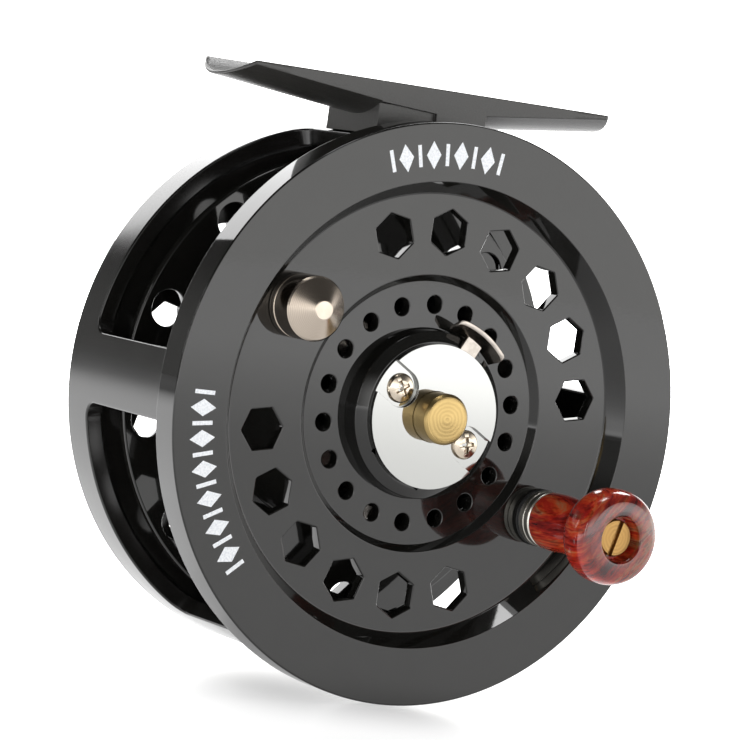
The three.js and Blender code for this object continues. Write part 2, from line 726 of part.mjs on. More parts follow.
// A flat spring held by its own screw, curving round to the side of the pawl.
function makePawlSpring() {
  const outline = [];
  const steps = 10;
  const middle = PAWL_RADIUS;
  const span = (i) => PAWL_ANGLE - SPRING_SCREW_STEP + (i / steps) * (SPRING_SCREW_STEP - 8.2);
  for (let i = 0; i <= steps; i++) outline.push(polar(middle + 0.15, span(i)));
  for (let i = steps; i >= 0; i--) outline.push(polar(middle - 0.15, span(i)));
  const shape = new THREE.Shape(outline.map(([x, y]) => new THREE.Vector2(x, y)));
  const [sx, sz] = polar(middle, PAWL_ANGLE - SPRING_SCREW_STEP);
  const leaf = plate(shape, 27.7, 28.7).add(rod(1.5, 27.7, 28.7, sx, sz, 16));
  const [ex, ez] = polar(middle, PAWL_ANGLE - 8.2);
  const finger = rod(0.35, 25.6, 28.7, ex, ez, 8);
  return leaf.add(finger).subtract(rod(0.95, 27, 30, sx, sz, 12));
}

function makePawlSpringScrew() {
  const [sx, sz] = polar(PAWL_RADIUS, PAWL_ANGLE - SPRING_SCREW_STEP);
  const shank = rod(0.85, 27, PLATE_Y + 1.4, sx, sz, 12);
  const collar = rod(1.5, 28.75, PLATE_Y - 0.02, sx, sz, 16);
  return shank.add(collar).add(rod(1.5, 26.75, 27.65, sx, sz, 16));
}

// ---- drag ----
function makeDragWasher() {
  return turned(
    [
      [4.2, WASHER_Y],
      [9, WASHER_Y],
      [9, WASHER_Y + 0.95],
      [4.2, WASHER_Y + 0.95],
    ],
    32,
  );
}

function makePressurePlate() {
  return turned(
    [
      [PIN_R + 0.1, PRESSURE_Y],
      [9.2, PRESSURE_Y],
      [9.2, PRESSURE_BACK_Y],
      [PIN_R + 0.1, PRESSURE_BACK_Y],
    ],
    32,
  );
}

function makeDragKnob() {
  let made = turned(
    [
      [1.4, 37.6],
      [5.5, 37.6],
      [5.5, 36],
      [9.1, 36],
      [9.1, KNOB_Y],
      [KNOB_R - 0.4, KNOB_Y],
      [KNOB_R, KNOB_Y + 0.4],
      [KNOB_R, KNOB_BACK_Y - 0.8],
      [KNOB_R - 0.8, KNOB_BACK_Y],
      [1.4, KNOB_BACK_Y],
    ],
    36,
  );
  const scallops = 12;
  for (let i = 0; i < scallops; i++) {
    const angle = (360 / scallops) * i;
    made = made.subtract(polarRod(1.9, KNOB_Y - EPS, KNOB_BACK_Y + EPS, KNOB_R + 1.1, angle, 8));
  }
  return made;
}

// ---- assembly ----
const reel = new THREE.Group();
reel.position.set(0, -FOOT_CENTRE_Y, -(FOOT_TOP_Z - SADDLE_SAG));

function put(name, made, material) {
  const mesh = new THREE.Mesh(geometryOf(made), material);
  mesh.name = name;
  reel.add(mesh);
}

put("frame", makeFrame(), BLACK_GLOSS);
put("foot", makeFoot(), BLACK_CAST);
put("foot_screw_left", makeFootScrew(-1), DARK_STEEL);
put("foot_screw_right", makeFootScrew(1), DARK_STEEL);
put("spindle", makeSpindle(), BRASS);
put("spindle_nut", makeSpindleNut(), STEEL);
put("knob_screw", makeKnobScrew(), STEEL);

put("spool", makeSpool(), BLACK_GLOSS);
put("spool_bushing_front", makeBushing(2.8, 9.8), BRASS);
put("spool_bushing_rear", makeBushing(17.8, 24.8), BRASS);
put("click_gear", makeClickGear(), STEEL);
GEAR_SCREW_ANGLES.forEach((angle, i) => {
  put(`gear_screw_${i + 1}`, makeGearScrew(angle), DARK_STEEL);
});
put("hub_cap", makeHubCap(), CHROME);
put("cap_screw_1", makeCapScrew(HANDLE_ANGLE), CHROME);
put("cap_screw_2", makeCapScrew(WEIGHT_ANGLE), CHROME);
put("release_lever", makeReleaseLever(), STEEL);
put("latch_spring", makeLatchSpring(), STEEL);
put("counterweight", makeCounterweight(), STEEL);
put("counterweight_screw", makeCounterweightScrew(), DARK_STEEL);

put("handle_washer", ringAtHandle(1.7, 4, 1.8, WEB_Y, 0.15, 24), BLACK_RUBBER);
put("handle_ferrule", ringAtHandle(1.7, 3.95, -0.5, 1.8, 0.25, 28), STEEL);
put("handle_knob", makeHandleKnob(), RESIN);
put("handle_bushing", ringAtHandle(1.7, 2.4, GRIP_FLOOR_Y + 0.05, GRIP_START_Y, 0.1, 20), BRASS);
put("handle_screw", makeHandleScrew(), BRASS);
put(
  "handle_nut",
  polarHex(3.2, WEB_BACK_Y, WEB_BACK_Y + 1.3, HANDLE_RADIUS, HANDLE_ANGLE).subtract(
    polarRod(1.7, 4, 7, HANDLE_RADIUS, HANDLE_ANGLE, 16),
  ),
  STEEL,
);

put("click_pawl", makeClickPawl(), STEEL);
put("pawl_post", makePawlPost(), DARK_STEEL);
put("pawl_spring", makePawlSpring(), STEEL);
put("pawl_spring_screw", makePawlSpringScrew(), DARK_STEEL);

put("drag_washer", makeDragWasher(), CORK);
put("pressure_plate", makePressurePlate(), STEEL);
PUSH_ANGLES.forEach((angle, i) => {
  put(`push_pin_${i + 1}`, polarRod(0.7, PRESSURE_BACK_Y + 0.02, 34.85, PUSH_RADIUS, angle, 12), STEEL);
});
put("drag_knob", makeDragKnob(), BLACK_GLOSS);
put(
  "drag_spring",
  turned(
    [
      [6, 34.95],
      [8.2, 35.15],
      [8.2, 35.5],
      [6, 35.3],
    ],
    32,
  ),
  STEEL,
);

export default reel;
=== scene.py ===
import math

import bmesh
import bpy
from mathutils import Matrix, Vector
from mathutils.geometry import delaunay_2d_cdt


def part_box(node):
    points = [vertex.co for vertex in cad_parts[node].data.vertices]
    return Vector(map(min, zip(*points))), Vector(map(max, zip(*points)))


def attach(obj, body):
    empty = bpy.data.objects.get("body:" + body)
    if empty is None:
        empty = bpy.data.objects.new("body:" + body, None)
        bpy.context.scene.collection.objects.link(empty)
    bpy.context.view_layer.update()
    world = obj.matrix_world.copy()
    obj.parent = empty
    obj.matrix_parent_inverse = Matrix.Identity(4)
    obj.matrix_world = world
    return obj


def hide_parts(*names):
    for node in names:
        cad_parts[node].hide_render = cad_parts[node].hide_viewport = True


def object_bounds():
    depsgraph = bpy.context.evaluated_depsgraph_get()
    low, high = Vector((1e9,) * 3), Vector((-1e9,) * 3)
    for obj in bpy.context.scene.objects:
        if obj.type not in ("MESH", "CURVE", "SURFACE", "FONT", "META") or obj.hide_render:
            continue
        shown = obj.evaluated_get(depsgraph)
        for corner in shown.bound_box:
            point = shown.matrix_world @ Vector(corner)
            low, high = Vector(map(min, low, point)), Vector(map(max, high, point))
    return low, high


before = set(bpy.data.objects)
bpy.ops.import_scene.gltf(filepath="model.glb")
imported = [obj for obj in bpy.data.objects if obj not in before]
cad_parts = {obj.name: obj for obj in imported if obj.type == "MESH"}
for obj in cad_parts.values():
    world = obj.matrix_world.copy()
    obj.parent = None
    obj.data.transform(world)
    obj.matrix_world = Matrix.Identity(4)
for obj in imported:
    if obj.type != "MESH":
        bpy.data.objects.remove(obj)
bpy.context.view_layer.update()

# Lengths below are millimetres from the middle of the spool's face, +Y to the back and angles from +X
# towards +Z. place() turns them into the row frame's metres.
MM = 0.001
spool_low, spool_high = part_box("spool")
FACE = Vector((0, spool_low.y, (spool_low.z + spool_high.z) / 2))

# ---- driving dimensions ----
RIM_R = 40.0
RIM_DEPTH = 4.8
FACE_INNER_R = 32.0
WEB_Y = 2.6
WEB_R = (19.1, 30.3)
DISC_Y = 3.6
DISC_R = 18.2
WEB_BACK_Y = 4.4
ARBOR_R = 18.4
FLANGE_R = 33.8
FLANGE_Y = (26.0, 27.4)
HUB_Y = 0.35
HUB_BORE_R = 4.6

CAGE_R = 37.75
CAGE_INNER_R = 35.25
CAGE_Y = (2.2, 35.4)
WINDOW_Y = (5.6, 29.6)
WINDOW_CORNER = 2.2
PLATE_Y = (30.2, 32.6)
BOSS_R = 8.6
BOSS_BACK_Y = 34.6
PILLAR_HALF = 7.5
PILLARS = (0, -69, -111, -180)
BRIDGE = (76.8, 103.2)

FOOT_Y = (10.2, 24.3)
FOOT_TOP_Z = 44.4
FOOT_HALF = 31.3
FOOT_EDGE_HALF = 29.0
SADDLE_SAG = 2.05
BLOCK_HALF = 8.6
SEAM_Z = 38.6
LIP_Z = (41.5, 40.9)
RECESS_END_X = 0.4

PIN_R = 3.5
HANDLE_RADIUS = 25.1
HANDLE_ANGLE = -30.6
WEIGHT_ANGLE = HANDLE_ANGLE + 180
LEVER_ANGLE = HANDLE_ANGLE + 90
CAP_SCREW_RADIUS = 6.7
CAP_Y = -0.6

HEX_R = 3.15
BACK_HEX_PITCH = 27
BACK_HOLE_PITCH = 18.6
DISC_HOLE_PITCH = 15.07
FLANGE_HOLE_PITCH = 30
SAME_LEVEL = 0.001

SEGMENTS = 240
SMALL_SEGMENTS = 72


def place(point):
    return FACE + Vector(point) * MM


def polar(radius, angle):
    turn = math.radians(angle)
    return radius * math.cos(turn), radius * math.sin(turn)


HANDLE = polar(HANDLE_RADIUS, HANDLE_ANGLE)
WEIGHT = polar(HANDLE_RADIUS, WEIGHT_ANGLE)


def around(angle, radius):
    """The matrix that takes a piece drawn about the Y axis to a pitch radius and angle."""
    x, z = polar(radius, angle)
    return Matrix.Translation((x, 0, z))


# ---- outlines ----
def filleted(outline, steps=4):
    """Rounds the corners of a closed outline whose points carry a fillet radius."""
    out = []
    for i, point in enumerate(outline):
        here = Vector(point[:2])
        if len(point) < 3:
            out.append(tuple(here))
            continue
        before = Vector(outline[i - 1][:2]) - here
        after = Vector(outline[(i + 1) % len(outline)][:2]) - here
        half = before.angle(after) / 2
        reach = min(point[2] / math.tan(half), 0.49 * before.length, 0.49 * after.length)
        middle = before.normalized() + after.normalized()
        centre = here + middle.normalized() * (reach / math.cos(half))
        start = here + before.normalized() * reach - centre
        end = here + after.normalized() * reach - centre
        for k in range(steps + 1):
            share = k / steps
            arm = start.lerp(end, share).normalized() * start.length
            out.append(tuple(centre + arm))
    return out


def circle(radius, centre=(0, 0), count=40):
    def outline(offset):
        turns = [2 * math.pi * i / count for i in range(count)]
        reach = radius + offset
        return [(centre[0] + reach * math.cos(t), centre[1] + reach * math.sin(t)) for t in turns]

    return outline


def hexagon(corner_radius, pitch, angle, rounding=0.22):
    """A hexagon with a corner pointing away from the axis and slightly rounded corners."""
    x, z = polar(pitch, angle)

    def outline(offset):
        points = []
        arm = corner_radius - rounding / math.cos(math.pi / 6)
        for i in range(6):
            corner = angle + 60 * i
            cx, cz = polar(arm, corner)
            for step in range(5):
                ox, oz = polar(rounding + offset, corner - 30 + 15 * step)
                points.append((x + cx + ox, z + cz + oz))
        return points

    return outline


# ---- mesh making ----
class Shell:
    """Points and faces of one piece, turned about the Y axis over a list of angles."""

    def __init__(self, segments=SEGMENTS, angles=None):
        self.points = []
        self.faces = []
        self.level = set()
        self.angles = angles or [360 * i / segments for i in range(segments)]

    def loop(self, points):
        first = len(self.points)
        self.points.extend(points)
        return list(range(first, len(self.points)))

    def ring(self, radius, y):
        if not callable(radius):
            fixed = radius
            radius = lambda angle: fixed
        points = []
        for angle in self.angles:
            x, z = polar(radius(angle), angle)
            points.append((x, y, z))
        return self.loop(points)

    def bridge(self, first, second, closed=True):
        count = len(first)
        for i in range(count if closed else count - 1):
            j = (i + 1) % count
            self.faces.append((first[i], first[j], second[j], second[i]))

    def flat(self, outer, inner_loops):
        """Fills a level face inside one loop and outside the others."""
        loops = [outer, *inner_loops]
        owner = [k for k, loop in enumerate(loops) for _ in loop]
        index = [i for loop in loops for i in loop]
        coordinates = [Vector((self.points[i][0], self.points[i][2])) for i in index]
        edges = []
        start = 0
        for loop in loops:
            count = len(loop)
            edges += [(start + i, start + (i + 1) % count) for i in range(count)]
            start += count
        found = delaunay_2d_cdt(coordinates, edges, [], 0, 1e-9)
        origin = [first[0] for first in found[3]]
        for triangle in found[2]:
            corners = [origin[i] for i in triangle]
            owners = {owner[i] for i in corners}
            if len(owners) == 1 and 0 not in owners:
                continue
            self.level.add(len(self.faces))
            self.faces.append(tuple(index[i] for i in corners))

    def hole(self, outline, front, back, edge=0.18, steps=3):
        """The wall of a hole, rounded at both ends. Returns its front and back loops."""
        loops = []
        for level, inward in ((front, 1), (back, -1)):
            for k in range(steps + 1)[::inward]:
                turn = math.pi / 2 * k / steps
                offset = edge * (1 - math.sin(turn))
                y = level + inward * edge * (1 - math.cos(turn))
                loops.append(self.loop([(x, y, z) for x, z in outline(offset)]))
        for a, b in zip(loops, loops[1:]):
            self.bridge(a, b)
        return loops[0], loops[-1]

    def turned(self, profile, pierced=(), closed=True):
        """A turned surface. pierced holds (front y, back y, pitch, outlines) of holes in level faces."""
        rings = [self.ring(r, y) for r, y in profile]
        holes = {}
        for front, back, pitch, outlines in pierced:
            for outline in outlines:
                ends = self.hole(outline, front, back)
                holes.setdefault(front, []).append((pitch, ends[0]))
                holes.setdefault(back, []).append((pitch, ends[1]))
        count = len(profile)
        for i in range(count if closed else count - 1):
            j = (i + 1) % count
            (r0, y0), (r1, y1) = profile[i], profile[j]
            inside = []
            if abs(y0 - y1) < 1e-6:
                low, high = min(r0, r1), max(r0, r1)
                for y, found in holes.items():
                    if abs(y - y0) < 1e-6:
                        inside += [loop for pitch, loop in found if low < pitch < high]
            if not inside:
                self.bridge(rings[i], rings[j])
                continue
            outer, inner = (rings[i], rings[j]) if r0 > r1 else (rings[j], rings[i])
            self.flat(outer, [inner, *inside])
        if not closed:
            self.faces.append(tuple(rings[0]))
            self.faces.append(tuple(rings[-1]))
        return self


def make_object(name, points, faces, move=None, sharp=32, level=()):
    """Level faces get hard borders, so that their shading stays flat up to the rounded edge."""
    mesh = bpy.data.meshes.new(name)
    move = move or Matrix.Identity(4)
    mesh.from_pydata([place(move @ Vector(p)) for p in points], [], faces)
    work = bmesh.new()
    work.from_mesh(mesh)
    bmesh.ops.recalc_face_normals(work, faces=work.faces)
    work.to_mesh(mesh)
    work.free()
    piece = bpy.data.objects.new(name, mesh)
    bpy.context.scene.collection.objects.link(piece)
    shade(piece, sharp)
    harden(mesh, level)
    return piece


def harden(mesh, level):
    sides = {}
    for number in level:
        for key in mesh.polygons[number].edge_keys:
            sides[key] = sides.get(key, 0) + 1
    for edge in mesh.edges:
        if sides.get(tuple(sorted(edge.vertices))) == 1:
            edge.use_edge_sharp = True


def shade(piece, sharp=32):
    for face in piece.data.polygons:
        face.use_smooth = True
    piece.data.set_sharp_from_angle(angle=math.radians(sharp))


def weighted(piece):
    modifier = piece.modifiers.new("normals", "WEIGHTED_NORMAL")
    modifier.keep_sharp = True
    modifier.weight = 80
    return piece


def turned_object(name, outline, centre=(0, 0), segments=SMALL_SEGMENTS, closed=True, steps=4):
    """A turned piece. An outline on the axis is open and starts and ends on a flat end."""
    profile = filleted(outline, steps) if closed else open_profile(outline, steps)
    shell = Shell(segments).turned(profile, closed=closed)
    return make_object(name, shell.points, shell.faces, around_xz(centre))


def open_profile(outline, steps):
    """Fillets an outline whose first and last points lie on the axis, then drops those two."""
    whole = filleted([(0.0, outline[0][1]), *outline, (0.0, outline[-1][1])], steps)
    return whole[1:-1]


def around_xz(centre):
    return Matrix.Translation((centre[0], 0, centre[1]))


def apply_modifiers(piece):
    graph = bpy.context.evaluated_depsgraph_get()
    made = bpy.data.meshes.new_from_object(piece.evaluated_get(graph))
    piece.modifiers.clear()
    piece.data = made
    return piece


def cut(piece, cutters, sharp=32):
    """Subtracts each cutter and removes it."""
    for cutter in cutters:
        modifier = piece.modifiers.new("cut", "BOOLEAN")
        modifier.operation = "DIFFERENCE"
        modifier.solver = "EXACT"
        modifier.object = cutter
    apply_modifiers(piece)
    for cutter in cutters:
        bpy.data.objects.remove(cutter)
    shade(piece, sharp)
    return piece


def bevelled(piece, width, segments=3, angle=30):
    modifier = piece.modifiers.new("bevel", "BEVEL")
    modifier.width = width * MM
    modifier.segments = segments
    modifier.limit_method = "ANGLE"
    modifier.angle_limit = math.radians(angle)
    modifier.harden_normals = False
    apply_modifiers(piece)
    shade(piece, 50)
    return piece


def joined(name, pieces):
    """One object from several: each keeps its own closed surface."""
    work = bmesh.new()
    for piece in pieces:
        work.from_mesh(piece.data)
    mesh = bpy.data.meshes.new(name)
    work.to_mesh(mesh)
    work.free()
    for piece in pieces:
        bpy.data.objects.remove(piece)
    whole = bpy.data.objects.new(name, mesh)
    bpy.context.scene.collection.objects.link(whole)
    return whole


def prism(name, outline, front, back, angle=90.0, move=None):
    """A prism along Y. The outline's second axis is turned to point at the angle."""
    turn = math.radians(angle)
    out = Vector((math.cos(turn), 0, math.sin(turn)))
    side = Vector((math.sin(turn), 0, -math.cos(turn)))
    points = []
    for y in (front, back):
        points += [side * u + out * v + Vector((0, y, 0)) for u, v in outline]
    count = len(outline)
    faces = [tuple(range(count)), tuple(range(count, 2 * count))]
    faces += [(i, (i + 1) % count, count + (i + 1) % count, count + i) for i in range(count)]
    return make_object(name, points, faces, move)


def rectangle(half, low, high):
    return [(-half, low), (half, low), (half, high), (-half, high)]


def arc(centre, radius, start, end, steps):
    points = []
    for k in range(steps + 1):
        u, v = polar(radius, start + (end - start) * k / steps)
        points.append((centre[0] + u, centre[1] + v))
    return points


# ---- materials ----
def add_node(tree, kind, *sources, operation=None, **values):
    """A node whose first inputs take sources, numbers or sockets, and whose named inputs take values."""
    node = tree.nodes.new(kind)
    if operation:
        node.operation = operation
    for socket, source in zip(node.inputs, sources):
        if isinstance(source, bpy.types.NodeSocket):
            tree.links.new(source, socket)
        else:
            socket.default_value = source
    for name, value in values.items():
        node.inputs[name].default_value = value
    return node


def smooth_range(tree, value, *limits):
    """Eases from one value to another. limits are from low, from high, to low and to high."""
    node = add_node(tree, "ShaderNodeMapRange", value, *limits)
    node.interpolation_type = "SMOOTHSTEP"
    return node.outputs["Result"]


class Finish:
    """A material with one Principled shader and short calls for the nodes that feed it."""

    def __init__(self, name, color, roughness, metallic=0.0, **sockets):
        self.material = bpy.data.materials.new(name)
        self.material.use_nodes = True
        self.tree = self.material.node_tree
        self.shader = self.tree.nodes["Principled BSDF"]
        self.shader.inputs["Base Color"].default_value = (*color, 1)
        self.shader.inputs["Roughness"].default_value = roughness
        self.shader.inputs["Metallic"].default_value = metallic
        for socket, value in sockets.items():
            self.shader.inputs[socket.replace("_", " ")].default_value = value
        self.where = self.add("ShaderNodeTexCoord").outputs["Object"]

    def add(self, kind, *sources, **values):
        return add_node(self.tree, kind, *sources, **values)

    def scaled(self, scale=(1, 1, 1), centre=(0, 0, 0)):
        """Position in millimetres from a point, stretched along each axis."""
        each = [s / MM for s in scale]
        shift = [-m * e for m, e in zip(place(centre), each)]
        return self.add("ShaderNodeMapping", self.where, Scale=each, Location=shift).outputs[0]

    def noise(self, vector, scale, detail=3.0, roughness=0.55, distortion=0.0):
        values = {"Scale": scale, "Detail": detail, "Roughness": roughness, "Distortion": distortion}
        return self.add("ShaderNodeTexNoise", vector, **values).outputs["Fac"]

    def math(self, operation, *values):
        return self.add("ShaderNodeMath", *values, operation=operation).outputs[0]

    def ramp(self, value, stops):
        node = self.add("ShaderNodeValToRGB", value)
        elements = node.color_ramp.elements
        while len(elements) < len(stops):
            elements.new(0.5)
        for element, (position, color) in zip(elements, stops):
            element.position = position
            element.color = (*color, 1)
        return node.outputs["Color"]

    def between(self, value, low, high, source=(0.0, 1.0)):
        return self.add("ShaderNodeMapRange", value, *source, low, high).outputs["Result"]

    def feed(self, socket, value):
        self.tree.links.new(value, self.shader.inputs[socket])

    def bump(self, height, strength, distance):
        node = self.add("ShaderNodeBump", Strength=strength, Distance=distance * MM)
        self.tree.links.new(height, node.inputs["Height"])
        self.feed("Normal", node.outputs["Normal"])

    def turned_frame(self, centre, angle, scale):
        """Position along a direction in the XZ plane, along Y and across, each with its own scale."""
        turn = math.radians(angle)
        axes = ((math.cos(turn), 0, math.sin(turn)), (0, 1, 0), (-math.sin(turn), 0, math.cos(turn)))
        parts = [self.along([size * a for a in axis], centre) for axis, size in zip(axes, scale)]
        return self.add("ShaderNodeCombineXYZ", *parts).outputs[0]

    def along(self, axis, centre):
        """Distance in millimetres along an axis from a point."""
        where = self.scaled(centre=centre)
        return self.add("ShaderNodeVectorMath", where, axis, operation="DOT_PRODUCT").outputs["Value"]

    def multiplied(self, color, other, factor):
        mix = self.add("ShaderNodeMix")
        mix.data_type = "RGBA"
        mix.blend_type = "MULTIPLY"
        mix.inputs["Factor"].default_value = factor
        self.tree.links.new(color, mix.inputs["A"])
        self.tree.links.new(other, mix.inputs["B"])
        return mix.outputs["Result"]

    def radius(self, centre):
        """Distance in millimetres from an axis along Y."""
        flat = self.scaled((1, 0, 1), (centre[0], 0, centre[1]))
        return self.add("ShaderNodeVectorMath", flat, operation="LENGTH").outputs["Value"]


def gloss_paint(name, low, high):
    """Stoved black enamel: nearly a mirror, with a faint orange peel and a little haze."""
    finish = Finish(name, (0.007, 0.0068, 0.006), low, IOR=1.52)
    grain = finish.scaled()
    haze = finish.noise(grain, 0.12, 4)
    finish.feed("Roughness", finish.between(haze, low, high))
    tones = [(0.3, (0.006, 0.0058, 0.0052)), (0.7, (0.0085, 0.0083, 0.0075))]
    finish.feed("Base Color", finish.ramp(finish.noise(grain, 0.3), tones))
    finish.bump(finish.noise(grain, 0.9, 2), 0.03, 0.02)
    return finish.material


def cast_paint(name="cast_paint", depth=0.05, rough=(0.3, 0.42)):
    """Satin black over a die casting: fine pits and a soft sheen."""
    finish = Finish(name, (0.02, 0.0195, 0.018), 0.35, IOR=1.55)
    grain = finish.scaled()
    fine = finish.noise(grain, 4.5, 6, 0.6)
    finish.feed("Roughness", finish.between(fine, *rough))
    tones = [(0.3, (0.016, 0.0155, 0.014)), (0.75, (0.03, 0.029, 0.027))]
    finish.feed("Base Color", finish.ramp(fine, tones))
    finish.bump(finish.noise(grain, 2.2, 8, 0.65), 0.6, depth)
    return finish.material


def chrome_plate():
    finish = Finish("chrome_plate", (0.37, 0.372, 0.362), 0.03, 1.0)
    grain = finish.scaled()
    finish.feed("Roughness", finish.between(finish.noise(grain, 0.8, 4), 0.015, 0.05))
    finish.bump(finish.noise(grain, 0.35, 1), 0.05, 0.02)
    return finish.material


def turned_metal(name, centre, color, roughness, pitch, depth, spread=0.25):
    """Metal faced on a lathe: rings about its own axis, uneven in depth and shine."""
    finish = Finish(name, color, roughness, 1.0)
    tangent = finish.add("ShaderNodeTangent")
    tangent.direction_type, tangent.axis = "RADIAL", "Y"
    finish.feed("Tangent", tangent.outputs["Tangent"])
    radius = finish.radius(centre)
    wander = finish.noise(finish.scaled(), 0.6, 2)
    along = finish.math("ADD", radius, finish.math("MULTIPLY", wander, pitch))
    rings = finish.math("SINE", finish.math("MULTIPLY", along, 2 * math.pi / pitch))
    fine = finish.noise(finish.scaled(), 9, 4)
    finish.feed("Roughness", finish.between(fine, roughness * (1 - spread), roughness * (1 + spread)))
    light = tuple(min(1, c * 1.06) for c in color)
    dark = tuple(c * 0.9 for c in color)
    finish.feed("Base Color", finish.ramp(finish.between(rings, 0, 1, (-1, 1)), [(0, dark), (1, light)]))
    finish.bump(rings, 0.5, depth)
    return finish.material


def plain_steel(name, color, roughness):
    """Stamped or ground steel with a fine grain and a few darker stains."""
    finish = Finish(name, color, roughness, 1.0)
    grain = finish.scaled((1, 0.2, 1))
    lines = finish.noise(grain, 6, 5)
    stain = finish.noise(finish.scaled(), 0.7, 3)
    finish.feed("Roughness", finish.between(lines, roughness * 0.8, roughness * 1.3))
    dark = tuple(c * 0.72 for c in color)
    finish.feed("Base Color", finish.ramp(stain, [(0.3, dark), (0.6, color)]))
    finish.bump(lines, 0.15, 0.01)
    return finish.material


def marbled_resin():
    """Laminated red wood under clear resin: thin layers edge on, running the length of the handle."""
    x, z = HANDLE
    finish = Finish("marbled_resin", (0.5, 0.05, 0.02), 0.12, IOR=1.52)
    finish.shader.inputs["Coat Weight"].default_value = 0.6
    finish.shader.inputs["Coat Roughness"].default_value = 0.03
    layers = finish.turned_frame((x, 0, z), -40, (1, 0.075, 0.16))
    broad = finish.noise(layers, 0.62, 5, 0.66, 0.5)
    woods = [
        (0.3, (0.02, 0.005, 0.005)),
        (0.385, (0.17, 0.01, 0.009)),
        (0.45, (0.33, 0.014, 0.01)),
        (0.505, (0.5, 0.03, 0.013)),
        (0.55, (0.6, 0.075, 0.02)),
        (0.6, (0.42, 0.16, 0.07)),
        (0.65, (0.35, 0.02, 0.012)),
        (0.74, (0.09, 0.012, 0.01)),
    ]
    color = finish.ramp(broad, woods)
    fine = finish.noise(finish.turned_frame((x, 0, z), -40, (1, 0.1, 0.4)), 2.6, 3)
    lines = finish.ramp(fine, [(0.36, (0.35, 0.3, 0.3)), (0.5, (1, 1, 1))])
    color = finish.multiplied(color, lines, 0.8)
    # The front end is darker end grain, and its cool grey tint is a painted sheen of reflected light.
    depth = finish.along((0, 1, 0), (x, -17.6, z))
    end_grain_and_sheen = finish.ramp(finish.between(depth, 0, 1, (0.2, 1.2)), [(0, (0.42, 0.5, 0.55)), (1, (1, 1, 1))])
    finish.feed("Base Color", finish.multiplied(color, end_grain_and_sheen, 1.0))
    finish.feed("Roughness", finish.between(fine, 0.12, 0.22))
    return finish.material


def cork():
    finish = Finish("cork", (0.4, 0.27, 0.16), 0.85)
    grain = finish.scaled()
    speck = finish.noise(grain, 1.6, 6)
    finish.feed("Base Color", finish.ramp(speck, [(0.35, (0.16, 0.09, 0.05)), (0.6, (0.5, 0.34, 0.2))]))
    finish.bump(speck, 0.4, 0.06)
    return finish.material


def black_rubber():
    finish = Finish("black_rubber", (0.014, 0.014, 0.014), 0.4)
    grain = finish.scaled()
    dust = finish.noise(grain, 2.4, 5)
    finish.feed("Roughness", finish.between(dust, 0.3, 0.5))
    finish.feed("Base Color", finish.ramp(dust, [(0.4, (0.012, 0.012, 0.012)), (0.8, (0.03, 0.03, 0.03))]))
    finish.bump(dust, 0.15, 0.02)
    return finish.material


def print_ink():
    """Thick white pad print."""
    finish = Finish("print_ink", (0.8, 0.82, 0.85), 0.45)
    grain = finish.scaled()
    patch = finish.noise(grain, 3.5, 5)
    finish.feed("Base Color", finish.ramp(patch, [(0.3, (0.62, 0.65, 0.7)), (0.6, (0.86, 0.88, 0.9))]))
    finish.feed("Roughness", finish.between(patch, 0.35, 0.6))
    finish.bump(patch, 0.2, 0.01)
    return finish.material


GLOSS = gloss_paint("gloss_paint", 0.02, 0.05)
CAGE_PAINT = gloss_paint("cage_paint", 0.13, 0.22)
CAST = cast_paint()
CHROME = chrome_plate()
STEEL = plain_steel("plain_steel", (0.43, 0.39, 0.35), 0.22)
NICKEL = plain_steel("nickel", (0.6, 0.52, 0.42), 0.16)
DARK_STEEL = plain_steel("dark_steel", (0.24, 0.23, 0.22), 0.32)
SPRING_STEEL = plain_steel("spring_steel", (0.5, 0.49, 0.47), 0.2)
BRASS = turned_metal("brass", (0, 0), (0.42, 0.3, 0.125), 0.33, 0.55, 0.008)
HANDLE_BRASS = turned_metal("handle_brass", HANDLE, (0.34, 0.2, 0.07), 0.34, 0.5, 0.01)
WEIGHT_STEEL = turned_metal("weight_steel", WEIGHT, (0.5, 0.43, 0.36), 0.2, 0.2, 0.0015, 0.12)
WEIGHT_STEEL.node_tree.nodes["Principled BSDF"].inputs["Anisotropic"].default_value = 0.8
FERRULE_STEEL = turned_metal("ferrule_steel", HANDLE, (0.72, 0.69, 0.62), 0.3, 0.4, 0.004)
RESIN = marbled_resin()
CORK = cork()
RUBBER = black_rubber()
INK = print_ink()


def finish_piece(piece, body, material, slot, *nodes):
    """Gives a piece its material, the CAD nodes it stands for and the body it moves with. The slot argument
    is not used.
    """
    piece.data.materials.clear()
    piece.data.materials.append(material)
    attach(piece, body)
    if nodes:
        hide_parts(*nodes)
    return piece


# ---- spool ----
HEX_STEPS = (40, 60, 80, 100, 120, 140)


